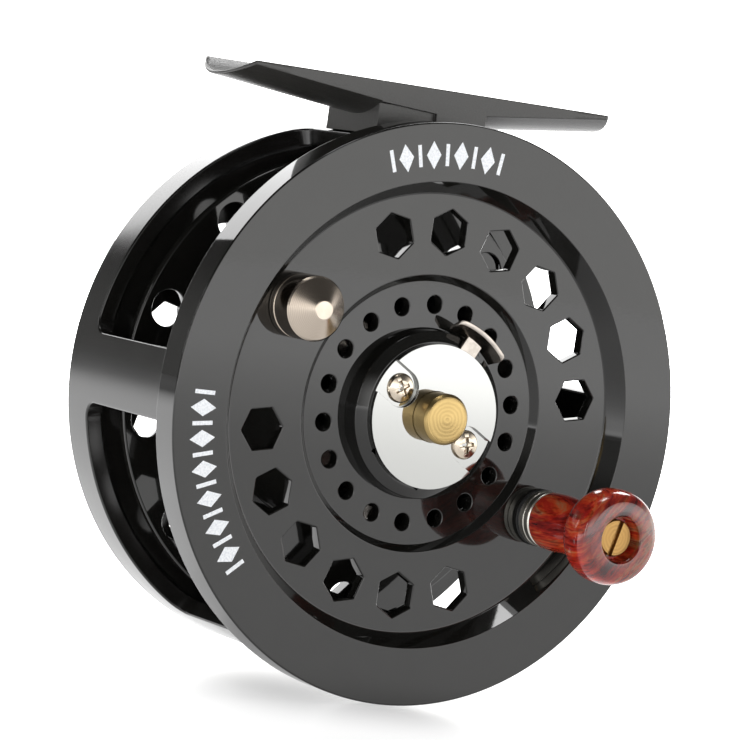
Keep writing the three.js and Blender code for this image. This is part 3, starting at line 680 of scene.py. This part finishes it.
def make_spool():
    profile = filleted(
        [
            (HUB_BORE_R, DISC_Y),
            (DISC_R, DISC_Y, 0.12),
            (WEB_R[0], WEB_Y, 0.22),
            (WEB_R[1], WEB_Y, 0.3),
            (FACE_INNER_R, 0, 0.12),
            (RIM_R, 0, 0.24),
            (RIM_R, RIM_DEPTH, 0.22),
            (RIM_R - 1.9, RIM_DEPTH, 0.22),
            (RIM_R - 1.9, 1.75, 0.5),
            (33.9, 1.75, 0.8),
            (32.2, WEB_BACK_Y, 0.4),
            (ARBOR_R, WEB_BACK_Y, 0.5),
            (ARBOR_R, FLANGE_Y[0], 0.5),
            (FLANGE_R, FLANGE_Y[0], 0.3),
            (FLANGE_R, FLANGE_Y[1], 0.3),
            (16.9, FLANGE_Y[1], 0.3),
            (16.9, 5.4, 0.25),
            (7.2, 5.4, 0.5),
            (7.2, 25, 0.2),
            (HUB_BORE_R, 25, 0.1),
        ]
    )
    hexes = []
    for step in HEX_STEPS:
        for side in (-1, 1):
            hexes.append(hexagon(HEX_R, HANDLE_RADIUS, HANDLE_ANGLE + side * step))
    seats = [circle(1.68, HANDLE), circle(1.38, WEIGHT)]
    small = [circle(1.17, polar(DISC_HOLE_PITCH, HANDLE_ANGLE + 20 * i), 32) for i in range(18)]
    large = [circle(2.6, polar(FLANGE_HOLE_PITCH, 11.8 + 30 * i), 48) for i in range(12)]
    pierced = [
        (WEB_Y, WEB_BACK_Y, HANDLE_RADIUS, hexes + seats),
        (DISC_Y, 5.4, DISC_HOLE_PITCH, small),
        (FLANGE_Y[0], FLANGE_Y[1], FLANGE_HOLE_PITCH, large),
    ]
    shell = Shell().turned(profile, pierced)
    body = make_object("spool_body", shell.points, shell.faces, level=shell.level)
    return joined("spool_shell", [body, make_hub()])


def make_hub():
    """The raised ring round the cap, with the channel, mouth and hollow of the release plate."""
    hub = turned_object(
        "hub",
        [
            (HUB_BORE_R, HUB_Y, 0.1),
            (10.2, HUB_Y, 0.25),
            (11.55, 1.3, 0.3),
            (11.7, DISC_Y - 0.25, 0.1),
            (12.0, DISC_Y + 0.3, 0.05),
            (HUB_BORE_R, DISC_Y + 0.3, 0.1),
        ],
        segments=SEGMENTS,
    )
    channel = prism("channel", rectangle(4.7, -9.2, 8.7), -1, 2.5, LEVER_ANGLE)
    mouth = prism("mouth", rectangle(2.6, 8, 14), -1, 2.5, LEVER_ANGLE)
    hollow_outline = arc((0, 0), 14, 66, 114, 12) + arc((0, 0), 10.95, 114, 66, 12)
    hollow = prism("hollow", hollow_outline, 1.4, 2.5, LEVER_ANGLE)
    return cut(hub, [channel, mouth, hollow])


def make_marks():
    """White printed ornament in two places on the rim: long diamonds between slim bars."""
    shapes = []
    for middle, count, pitch in ((95.5, 9, 3.5), (-160.5, 13, 3.3)):
        for i in range(count):
            angle = middle + (i - (count - 1) / 2) * pitch
            if i % 2:
                outline = [(0, 33.7), (1.15, 35.6), (0, 37.5), (-1.15, 35.6)]
            else:
                outline = [(-0.28, 34.1), (0.28, 34.1), (0.28, 37.1), (-0.28, 37.1)]
            shapes.append(prism(f"mark_{len(shapes)}", outline, -0.02, 0.05, angle))
    return joined("rim_marks", shapes)


finish_piece(weighted(make_spool()), "spool", GLOSS, "black_gloss", "spool")
finish_piece(make_marks(), "spool", INK, "black_gloss")


# ---- cage ----
class Window:
    """A rounded window in the ring, as an outline of anchors and outward directions."""

    def __init__(self, start, end, edge=0.3, corner_steps=6):
        self.start, self.end, self.edge = start, end, edge
        middle = (CAGE_R + CAGE_INNER_R) / 2
        self.per_degree = math.radians(1) * middle
        self.steps = corner_steps
        self.corner_angle = WINDOW_CORNER / self.per_degree

    def corner_columns(self):
        """Angles of the corner points on the widened outline, from its left end and its right end."""
        reach = (WINDOW_CORNER + self.edge) / self.per_degree
        inset = [reach * math.cos(math.pi / 2 * k / self.steps) for k in range(self.steps + 1)]
        left = [self.start + self.corner_angle - shift for shift in inset]
        right = [self.end - self.corner_angle + shift for shift in inset]
        return left + right

    def row(self, column, side, offset):
        """The outline's point at a column, on its low side (-1) or high side (1), moved outward."""
        low, high = WINDOW_Y
        centre_y = low + WINDOW_CORNER if side < 0 else high - WINDOW_CORNER
        reach = (WINDOW_CORNER + self.edge) / self.per_degree
        left, right = self.start + self.corner_angle, self.end - self.corner_angle
        nearest = min(max(column, left), right)
        cosine = max(-1.0, min(1.0, (column - nearest) / reach))
        sine = math.sqrt(max(0.0, 1 - cosine * cosine))
        radius = WINDOW_CORNER + offset
        return nearest + cosine * radius / self.per_degree, centre_y + side * radius * sine


def window_list():
    spans = [(PILLAR_HALF, BRIDGE[0]), (BRIDGE[1], 180 - PILLAR_HALF)]
    for first, second in zip(PILLARS, PILLARS[1:]):
        spans.append((second + PILLAR_HALF + 360, first - PILLAR_HALF + 360))
    return [Window(*span) for span in spans]


def make_cage():
    windows = window_list()
    columns = {round(1.5 * i, 5) for i in range(240)}
    for window in windows:
        reach = window.edge / window.per_degree
        near = [c for c in columns if c > window.start - reach - 0.05 and c < window.end + reach + 0.05]
        ends = window.corner_columns()
        inner = [max(ends[: window.steps + 1]), min(ends[window.steps + 1 :])]
        columns -= {c for c in near if not inner[0] + 0.3 < c < inner[1] - 0.3}
        columns |= {round(c, 5) for c in ends}
    angles = sorted(columns)
    shell = Shell(angles=angles)
    outline = [
        (3.2, PLATE_Y[0]),
        (CAGE_INNER_R, PLATE_Y[0], 0.5),
        (CAGE_INNER_R, CAGE_Y[0], 0.3),
        (CAGE_R, CAGE_Y[0], 0.3),
        (CAGE_R, CAGE_Y[1], 0.4),
        (34.6, CAGE_Y[1], 0.4),
        (34.6, PLATE_Y[1], 0.5),
        (BOSS_R, PLATE_Y[1], 0.4),
        (BOSS_R, BOSS_BACK_Y, 0.3),
        (3.2, BOSS_BACK_Y),
    ]
    profile = filleted(outline)
    rings = [shell.ring(r, y) for r, y in profile]
    holes = []
    for i in range(12):
        holes.append(hexagon(HEX_R, BACK_HEX_PITCH, 15 + 30 * i))
        holes.append(circle(1.4, polar(BACK_HOLE_PITCH, 30 * i), 32))
    ends = [shell.hole(hole, *PLATE_Y) for hole in holes]
    count = len(profile)
    for i in range(count):
        j = (i + 1) % count
        (r0, y0), (r1, y1) = profile[i], profile[j]
        if abs(y0 - y1) < SAME_LEVEL and abs(r0 - r1) > 15:
            outer, inner = (rings[i], rings[j]) if r0 > r1 else (rings[j], rings[i])
            side = 0 if abs(y0 - PLATE_Y[0]) < SAME_LEVEL else 1
            shell.flat(outer, [inner] + [pair[side] for pair in ends])
        elif abs(y0 - y1) > 20:
            front, back = (rings[i], rings[j]) if y0 < y1 else (rings[j], rings[i])
            wall(shell, front, back, r0, windows)
        else:
            shell.bridge(rings[i], rings[j])
    for window in windows:
        window_wall(shell, window)
    return make_object("cage_shell", shell.points, shell.faces, level=shell.level)


def window_loop(shell, window, radius, offset):
    """The indices of a window's outline at a radius: low side by column, then high side."""
    inside = [a for a in shell.angles if window.first <= a <= window.last]
    sides = []
    for side in (-1, 1):
        points = []
        for column in inside:
            angle, y = window.row(column, side, offset)
            x, z = polar(radius, angle)
            points.append((x, y, z))
        sides.append(shell.loop(points))
    return inside, sides[0], sides[1]


def wall(shell, front, back, radius, windows):
    """One surface of the ring, as strips between columns, with the windows left out."""
    angles = shell.angles
    count = len(angles)
    low, high = {}, {}
    for window in windows:
        ends = [round(c, 5) for c in window.corner_columns()]
        window.first, window.last = min(ends), max(ends)
        inside, lows, highs = window_loop(shell, window, radius, window.edge)
        window.surface = getattr(window, "surface", {})
        window.surface[radius] = (lows, highs)
        for column, a, b in zip(inside, lows, highs):
            low[column], high[column] = a, b
    for i in range(count):
        j = (i + 1) % count
        a, b = angles[i], angles[j]
        open_strip = any(w.first <= a < b <= w.last for w in windows)
        if open_strip:
            shell.faces.append((front[i], front[j], low[b], low[a]))
            shell.faces.append((high[a], high[b], back[j], back[i]))
            continue
        face = [front[i], front[j]]
        if b in low:
            face += [low[b], high[b]]
        face += [back[j], back[i]]
        if a in low:
            face += [high[a], low[a]]
        shell.faces.append(tuple(face))


def window_wall(shell, window, steps=3):
    """The rounded edges and the wall of a window, from the outer surface to the inner one."""
    outer, inner = window.surface[CAGE_R], window.surface[CAGE_INNER_R]
    loops = [outer[0] + outer[1][::-1]]
    edge = window.edge
    for radius, sign in ((CAGE_R, -1), (CAGE_INNER_R, 1)):
        turns = range(1, steps + 1) if sign < 0 else range(steps, 0, -1)
        for k in turns:
            turn = math.pi / 2 * k / steps
            depth = edge * (1 - math.cos(turn))
            offset = edge * (1 - math.sin(turn))
            _, low, high = window_loop(shell, window, radius + sign * depth, offset)
            loops.append(low + high[::-1])
    loops.append(inner[0] + inner[1][::-1])
    for a, b in zip(loops, loops[1:]):
        shell.bridge(a, b)


finish_piece(weighted(make_cage()), "frame", CAGE_PAINT, "black_gloss", "frame")


# ---- foot ----
def foot_thickness(x):
    slope = (2.85 - 0.4) / (FOOT_HALF - BLOCK_HALF)
    return 0.4 + slope * max(0.0, min(FOOT_HALF - abs(x), FOOT_HALF - BLOCK_HALF))


def make_wing():
    """The bar bent to a gutter, with rounded tips and softened edges. Levels from -1 count upwards."""
    along_steps, across_steps = 120, 28
    edge = 0.16
    shell = Shell()
    centre = (FOOT_Y[0] + FOOT_Y[1]) / 2
    half_width = (FOOT_Y[1] - FOOT_Y[0]) / 2

    def spot(u, v, level, inset):
        half = FOOT_EDGE_HALF + (FOOT_HALF - FOOT_EDGE_HALF) * (1 - v * v)
        x = u * (half - inset)
        top = FOOT_TOP_Z - SADDLE_SAG * (1 - v * v)
        thick = foot_thickness(x)
        depth = min(level, thick / 2) if level >= 0 else thick - min(-level - 1, thick / 2)
        z = top - depth
        return (x, centre + v * (half_width - inset), z)

    def sheet(level, inset):
        found = []
        for i in range(along_steps + 1):
            u = -1 + 2 * i / along_steps
            found.append(
                shell.loop(
                    [spot(u, -1 + 2 * j / across_steps, level, inset) for j in range(across_steps + 1)]
                )
            )
        return found

    def border(grid):
        first = [row[0] for row in grid]
        last = [row[-1] for row in grid]
        return first + grid[-1][1:-1] + last[::-1] + grid[0][1:-1][::-1]

    top, bottom = sheet(0.0, edge), sheet(-1.0, edge)
    for grid in (top, bottom):
        for a, b in zip(grid, grid[1:]):
            shell.bridge(a, b, closed=False)
    loops = [border(top)]
    for level, inset in ((0.05, 0.05), (edge, 0.0), (-1 - edge, 0.0), (-1.05, 0.05)):
        grid = sheet(level, inset)
        loops.append(border(grid))
    loops.append(border(bottom))
    for a, b in zip(loops, loops[1:]):
        shell.bridge(a, b)
    used = sorted({i for face in shell.faces for i in face})
    number = {old: new for new, old in enumerate(used)}
    points = [shell.points[i] for i in used]
    faces = [tuple(number[i] for i in face) for face in shell.faces]
    return make_object("wing", points, faces, sharp=50)


def box(name, low, high):
    points = [(x, y, z) for x in (low[0], high[0]) for y in (low[1], high[1]) for z in (low[2], high[2])]
    faces = [(0, 1, 3, 2), (4, 5, 7, 6), (0, 1, 5, 4), (2, 3, 7, 6), (0, 2, 6, 4), (1, 3, 7, 5)]
    return make_object(name, points, faces)


def make_foot():
    """The wings on their block. The left half of the block's front is set back under a sloping lip."""
    under = FOOT_TOP_Z - SADDLE_SAG - 0.2
    bottom = SEAM_Z - 1.6
    front = FOOT_Y[0]
    block = box("block", (-BLOCK_HALF, front - 0.005, bottom), (BLOCK_HALF, FOOT_Y[1] - 0.02, under))
    recess = box("recess", (-BLOCK_HALF - 1, front - 1, bottom - 1), (RECESS_END_X, front + 0.6, under - 0.5))
    left, right = -BLOCK_HALF + 0.02, RECESS_END_X + 0.1
    lip = [(right, under), (right, LIP_Z[1]), (left, LIP_Z[0]), (left, under)]
    points = [(x, y, z) for y in (front - 0.002, front + 1.5) for x, z in lip]
    faces = [(0, 1, 2, 3), (4, 5, 6, 7), (0, 1, 5, 4), (1, 2, 6, 5), (2, 3, 7, 6), (3, 0, 4, 7)]
    ledge = bevelled(make_object("lip", points, faces), 0.06)
    return joined("foot_casting", [make_wing(), bevelled(cut(block, [recess]), 0.12), ledge])


finish_piece(weighted(make_foot()), "frame", CAST, "black_cast", "foot")


# ---- hub cap, screws and spindle ----
def make_cap():
    count = 180
    disc = prism("disc", [polar(9.95, 360 * i / count) for i in range(count)], CAP_Y, HUB_Y)
    cutters = [prism("bore", [polar(PIN_R + 0.04, 360 * i / 96) for i in range(96)], -3, 3)]
    for angle in (HANDLE_ANGLE, WEIGHT_ANGLE):
        outline = arc((0, CAP_SCREW_RADIUS), 2.6, 180, 360, 28) + [(2.6, 12), (-2.6, 12)]
        cutters.append(prism("pocket", outline, -3, 0.02, angle))
    return bevelled(cut(disc, cutters), 0.17, 4, 40)


def make_cap_screw(name, angle, turn):
    """A pan head with a cross recess whose arms taper."""
    head = turned_object(
        name,
        [
            (0.4, CAP_Y - 0.2),
            (1.05, CAP_Y - 0.12, 0.4),
            (1.84, CAP_Y + 0.14, 0.3),
            (2.04, -0.15, 0.12),
            (2.04, 0.05, 0.03),
            (0.9, 0.05),
            (0.9, 4.8),
        ],
        closed=False,
    )
    arms = []
    for k in range(2):
        arms.append(prism("arm", rectangle(0.27, -1.15, 1.15), -2, CAP_Y + 0.42, turn + 90 * k))
    arms.append(prism("well", [polar(0.52, 45 * i) for i in range(8)], -2, CAP_Y + 0.7, turn))
    screw = bevelled(cut(head, arms), 0.05, 2, 40)
    screw.data.transform(Matrix.Translation(Vector(around(angle, CAP_SCREW_RADIUS).translation) * MM))
    return screw


def make_spindle():
    """The fixed pin: a softly domed end with turned rings, and the groove for the release plate."""
    outline = [(0.25, -3.83)]
    for k in range(1, 9):
        outline.append((0.25 + 0.34 * k - 0.09, -3.85 + 0.002 * k))
        outline.append((0.25 + 0.34 * k, -3.82 + 0.002 * k))
    outline += [
        (PIN_R - 0.42, -3.85, 0.05),
        (PIN_R, -3.4, 0.15),
        (PIN_R, 1.3, 0.1),
        (2.7, 1.3, 0.1),
        (2.7, 2.6, 0.1),
        (PIN_R, 2.6, 0.1),
        (PIN_R, 30.2, 0.1),
        (3.15, 30.2, 0.1),
        (3.15, 37, 0.2),
    ]
    return turned_object("spindle_pin", outline, segments=128, closed=False)


finish_piece(weighted(make_cap()), "spool", CHROME, "chrome", "hub_cap")
for number, angle, turn in ((1, HANDLE_ANGLE, 98), (2, WEIGHT_ANGLE, 31)):
    screw = make_cap_screw(f"cap_screw_head_{number}", angle, turn)
    finish_piece(screw, "spool", NICKEL, "chrome", f"cap_screw_{number}")
finish_piece(make_spindle(), "frame", BRASS, "brass", "spindle")


# ---- release plate ----
def make_lever():
    """The plate in the channel, its stem and the curved tab that leans outward."""
    right = [(4.4, -6.2), (4.4, 6.6), (1.4, 8), (1.4, 12.5)]
    plate = [(-4.4, -6.2), *right, (-1.4, 12.5), (-1.4, 8), (-4.4, 6.6)]
    sheet = prism("sheet", plate, 1.6, 2.3, LEVER_ANGLE)
    window = prism("window", [(u, v + 0.75) for u, v in arc((0, 0), 3.65, 0, 354, 59)], 0, 4, LEVER_ANGLE)
    sheet = bevelled(cut(sheet, [window]), 0.1, 2, 40)
    shell = Shell(angles=[LEVER_ANGLE - 20 + k for k in range(41)])
    corner = 0.6

    def curl(angle):
        """How far the tab's free edge drops near its two ends."""
        share = max(0.0, (abs(angle - LEVER_ANGLE) - 16) / 4)
        return corner * (1 - math.sqrt(max(0.0, 1 - share * share)))

    section = [(12, 2.3), (12.65, 2.3), (13.95, 0), (13.3, 0)]
    loops = []
    for radius, y in section:
        points = []
        for angle in shell.angles:
            drop = curl(angle)
            lean = 1.3 / 2.3 * drop * (1 if y == 0 else 0)
            x, z = polar(radius - lean, angle)
            points.append((x, y + (drop if y == 0 else 0), z))
        loops.append(shell.loop(points))
    for k in range(4):
        shell.bridge(loops[k], loops[(k + 1) % 4], closed=False)
    for end in (0, -1):
        shell.faces.append(tuple(loop[end] for loop in loops))
    tab = bevelled(make_object("tab", shell.points, shell.faces), 0.14, 3, 40)
    return joined("release_tab", [sheet, tab])


finish_piece(weighted(make_lever()), "release_lever", STEEL, "steel", "release_lever")

# ---- counterweight ----
weight = turned_object(
    "weight",
    [
        (1.2, -3.8, 0.12),
        (1.35, -3.75, 0.1),
        (4.15, -1.85, 0.1),
        (4.4, -1.6, 0.12),
        (4.4, 1.75, 0.08),
        (4.25, 1.85, 0.05),
        (4.25, 2.0, 0.05),
        (4.4, 2.1, 0.08),
        (4.4, WEB_Y - 0.01, 0.05),
    ],
    WEIGHT,
    128,
    closed=False,
)
finish_piece(weight, "spool", WEIGHT_STEEL, "steel", "counterweight")


# ---- handle ----
def make_grip():
    """The turned grip: a collar, a waist and a bulb with a flat end and a counterbore."""
    controls = [
        (4.05, -1.0),
        (4.05, -3.2),
        (3.83, -6.2),
        (3.5, -8.8),
        (3.72, -10.2),
        (4.75, -11.3),
        (5.85, -12.2),
        (6.45, -13.2),
        (6.6, -14.7),
        (6.45, -16.1),
        (5.95, -17.1),
        (5.1, -17.6),
    ]
    outside = smooth_curve(controls, 7)
    counterbore = [(3.35, -17.6, 0.2), (3.1, -17.3, 0.15), (3.1, -14.9, 0.12)]
    bore = [(2.45, -14.9, 0.1), (2.45, -0.62, 0.1)]
    outline = [(3.9, -0.62, 0.2), *outside, *counterbore, *bore]
    return turned_object("grip", outline, HANDLE, 128)


def smooth_curve(points, steps):
    """Catmull-Rom points through the controls."""
    out = []
    for i in range(len(points) - 1):
        p = [Vector(points[max(0, min(len(points) - 1, i + k))]) for k in (-1, 0, 1, 2)]
        for k in range(steps):
            t = k / steps
            spot = 0.5 * (
                2 * p[1]
                + (p[2] - p[0]) * t
                + (2 * p[0] - 5 * p[1] + 4 * p[2] - p[3]) * t * t
                + (3 * p[1] - p[0] - 3 * p[2] + p[3]) * t**3
            )
            out.append(tuple(spot))
    out.append(points[-1])
    return out


def make_handle_screw():
    """Slotted brass screw, the grip's axle."""
    head = [(2.0, -16.2), (2.38, -16.2, 0.12), (2.55, -16.0, 0.1), (2.55, -15.0, 0.05)]
    screw = turned_object("handle_bolt", [*head, (1.6, -15.0), (1.6, 5.9, 0.2)], closed=False)
    slot = prism("slot", rectangle(0.33, -4, 4), -17, -15.55, 74)
    screw = bevelled(cut(screw, [slot]), 0.05, 2, 40)
    screw.data.transform(Matrix.Translation(Vector((HANDLE[0], 0, HANDLE[1])) * MM))
    return screw


ferrule = turned_object(
    "ferrule",
    [
        (1.7, -0.5),
        (3.75, -0.5, 0.1),
        (3.95, -0.3, 0.12),
        (3.95, 0.55, 0.05),
        (3.87, 0.62, 0.03),
        (3.87, 0.72, 0.03),
        (3.95, 0.8, 0.05),
        (3.95, 1.8, 0.1),
        (1.7, 1.8),
    ],
    HANDLE,
    96,
)
washer = turned_object(
    "washer_stack",
    [
        (1.7, 1.8),
        (4.0, 1.8, 0.12),
        (4.0, 2.15, 0.1),
        (3.85, 2.2, 0.04),
        (4.0, 2.25, 0.1),
        (4.0, WEB_Y - 0.01, 0.08),
        (1.7, WEB_Y - 0.01),
    ],
    HANDLE,
    96,
)
finish_piece(make_grip(), "handle", RESIN, "resin", "handle_knob")
finish_piece(make_handle_screw(), "spool", HANDLE_BRASS, "brass", "handle_screw")
finish_piece(ferrule, "spool", FERRULE_STEEL, "steel", "handle_ferrule")
finish_piece(washer, "spool", RUBBER, "black_rubber", "handle_washer")


# ---- drag knob ----
def make_drag_knob():
    """A scalloped knob with a dished middle."""

    def scalloped(radius):
        def reach(angle):
            delta = (angle + 15) % 30 - 15
            across = 13.7 * math.sin(math.radians(delta))
            if abs(across) >= 1.9:
                return radius
            hollow = 13.7 * math.cos(math.radians(delta)) - math.sqrt(1.9**2 - across**2)
            return min(radius, hollow + (radius - 12.6))

        return reach

    shell = Shell(360)
    inner = [(1.4, 39), (1.4, 37.6), (5.5, 37.6), (5.5, 36), (9.1, 36), (9.1, 33.3)]
    front = [(12.0, 33.3), (12.45, 33.45), (12.6, 33.9)]
    outer = [*front, (12.6, 38.1), (12.45, 38.6), (12.0, 38.95), (11.4, 39)]
    dish = [(8.6, 39), (8.2, 38.6), (4.2, 38.6), (3.8, 39)]
    profile = [*inner, *((scalloped(r), y) for r, y in outer), *dish]
    rings = [shell.ring(r, y) for r, y in profile]
    for i in range(len(rings)):
        shell.bridge(rings[i], rings[(i + 1) % len(rings)])
    return make_object("drag_dial", shell.points, shell.faces)


finish_piece(weighted(make_drag_knob()), "drag_knob", CAST, "black_gloss", "drag_knob")

# ---- CAD nodes that keep their shape ----
KEPT = (
    (STEEL, ("spindle_nut", "knob_screw", "click_gear", "handle_nut", "click_pawl", "pressure_plate")),
    (STEEL, [f"push_pin_{k}" for k in (1, 2, 3)]),
    (DARK_STEEL, ("foot_screw_left", "foot_screw_right", "pawl_post", "pawl_spring_screw")),
    (DARK_STEEL, ["counterweight_screw"] + [f"gear_screw_{k}" for k in (1, 2, 3)]),
    (SPRING_STEEL, ("pawl_spring", "latch_spring", "drag_spring")),
    (BRASS, ("spool_bushing_front", "spool_bushing_rear")),
    (HANDLE_BRASS, ("handle_bushing",)),
    (CORK, ("drag_washer",)),
)
for material, names in KEPT:
    for name in names:
        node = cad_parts[name]
        if not node.data.materials:
            node.data.materials.append(material)
        for slot in node.material_slots:
            slot.material = material


# ---- stage, light and camera ----
def make_floor():
    """A pale floor that glows a little, brighter with distance so that it meets the pale surround. The glow
    is painted light and shade: a painted shadow under the reel, painted light towards the back and painted
    shade to the back left.
    """
    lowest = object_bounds()[0].z - 0.0002
    mesh = bpy.data.meshes.new("floor")
    work = bmesh.new()
    bmesh.ops.create_circle(work, cap_ends=True, segments=96, radius=2.4)
    work.to_mesh(mesh)
    work.free()
    floor = bpy.data.objects.new("floor", mesh)
    floor.location = (0, 0, lowest)
    bpy.context.scene.collection.objects.link(floor)
    material = bpy.data.materials.new("floor")
    material.use_nodes = True
    tree = material.node_tree
    shader = tree.nodes["Principled BSDF"]
    shader.inputs["Base Color"].default_value = (0.35, 0.35, 0.355, 1)
    shader.inputs["Roughness"].default_value = 0.3
    where = add_node(tree, "ShaderNodeTexCoord").outputs["Object"]

    def spread(operation, vector, *limits):
        reach = add_node(tree, "ShaderNodeVectorMath", where, vector, operation=operation)
        return smooth_range(tree, reach.outputs["Value"], *limits)

    def combine(operation, first, second):
        return add_node(tree, "ShaderNodeMath", first, second, operation=operation).outputs[0]

    # Painted shadow: the glow is dimmest right under the reel.
    near = spread("LENGTH", (0, 0, 0), 0.01, 0.045, 0.45, 0.85)
    # Far from the reel the glow rises to meet the pale surround.
    far = spread("LENGTH", (0, 0, 0), 0.35, 1.1, 0.0, 1.15)
    # Painted light: the glow is brighter towards the back, where the back softbox falls.
    painted_back_light = spread("DOT_PRODUCT", (-0.53, 0.85, 0), 0.0, 0.08, 1.0, 2.7)
    # Painted shade: the glow fades towards the back left.
    end = spread("DOT_PRODUCT", (-0.75, 0.66, 0), 0.28, 0.6, 1.0, 0.05)
    level = combine("MULTIPLY", combine("MULTIPLY", combine("ADD", near, far), painted_back_light), end)
    shader.inputs["Emission Color"].default_value = (1, 1, 1, 1)
    # The floor glows with this painted light and shade.
    tree.links.new(level, shader.inputs["Emission Strength"])
    floor.data.materials.append(material)


def make_world():
    """Pale surround, brightest to the front right, dim to the back left and overhead."""
    world = bpy.data.worlds.new("studio")
    bpy.context.scene.world = world
    world.use_nodes = True
    tree = world.node_tree
    background = tree.nodes["Background"]
    direction = add_node(tree, "ShaderNodeTexCoord").outputs["Generated"]

    def facing(axis, *limits):
        axis = Vector(axis).normalized()
        dot = add_node(tree, "ShaderNodeVectorMath", direction, axis, operation="DOT_PRODUCT")
        return smooth_range(tree, dot.outputs["Value"], *limits)

    side = facing((0.95, -0.3, 0), -0.62, -0.1, 0.12, 1.0)
    height = facing((0, 0, 1), 0.12, 0.5, 1.0, 0.03)
    product = add_node(tree, "ShaderNodeMath", side, height, operation="MULTIPLY").outputs[0]
    strength = add_node(tree, "ShaderNodeMath", product, 2.75, operation="MULTIPLY").outputs[0]
    background.inputs["Color"].default_value = (1, 0.995, 0.98, 1)
    tree.links.new(strength, background.inputs["Strength"])


def softbox(name, direction, distance, width, height, radiance):
    light = bpy.data.lights.new(name, "AREA")
    light.shape = "RECTANGLE"
    light.size, light.size_y = width, height
    light.energy = radiance * math.pi * width * height
    lamp = bpy.data.objects.new(name, light)
    lamp.location = FACE + Vector(direction).normalized() * distance
    lamp.rotation_euler = (FACE - lamp.location).to_track_quat("-Z", "Y").to_euler()
    lamp.visible_camera = False
    bpy.context.scene.collection.objects.link(lamp)


def make_camera():
    """A long lens, turned and tipped as in the view to match, aimed a little beside the spool's axis."""
    target = FACE + Vector((-7.76, 5.11, 5.08)) * MM
    distance = 0.49639
    azimuth, elevation, roll = 31.818, 2.844, 7.962
    back = Matrix.Rotation(math.radians(-azimuth), 3, "Z") @ Vector((0, -1, 0))
    back = (back * math.cos(math.radians(elevation))) + Vector((0, 0, math.sin(math.radians(elevation))))
    data = bpy.data.cameras.new("camera")
    data.lens, data.sensor_width = 177.47, 36
    data.clip_start, data.clip_end = 0.01, 20
    camera = bpy.data.objects.new("camera", data)
    camera.location = target + back * distance
    camera.rotation_mode = "QUATERNION"
    aim = (-back).to_track_quat("-Z", "Y").to_matrix()
    camera.rotation_quaternion = (aim @ Matrix.Rotation(math.radians(roll), 3, "Z")).to_quaternion()
    bpy.context.scene.collection.objects.link(camera)
    bpy.context.scene.camera = camera


make_floor()
make_world()
softbox("back_top", (0.075, 0.87, 0.5), 1.3, 0.97, 0.45, 4.4)
softbox("overhead", (-0.08, -0.02, 1), 1.0, 0.17, 0.17, 9)
softbox("overhead_wide", (-0.08, -0.02, 1), 1.02, 0.5, 0.26, 2)
softbox("high_right", (0.53, 0.38, 0.76), 1.2, 0.5, 0.35, 9)
softbox("front_left", (-0.78, -0.6, 0.12), 1.1, 0.1, 0.5, 6)
softbox("left", (-0.82, 0.4, 0.28), 1.1, 0.16, 0.4, 7)
make_camera()
bpy.context.scene.view_settings.view_transform = "Standard"
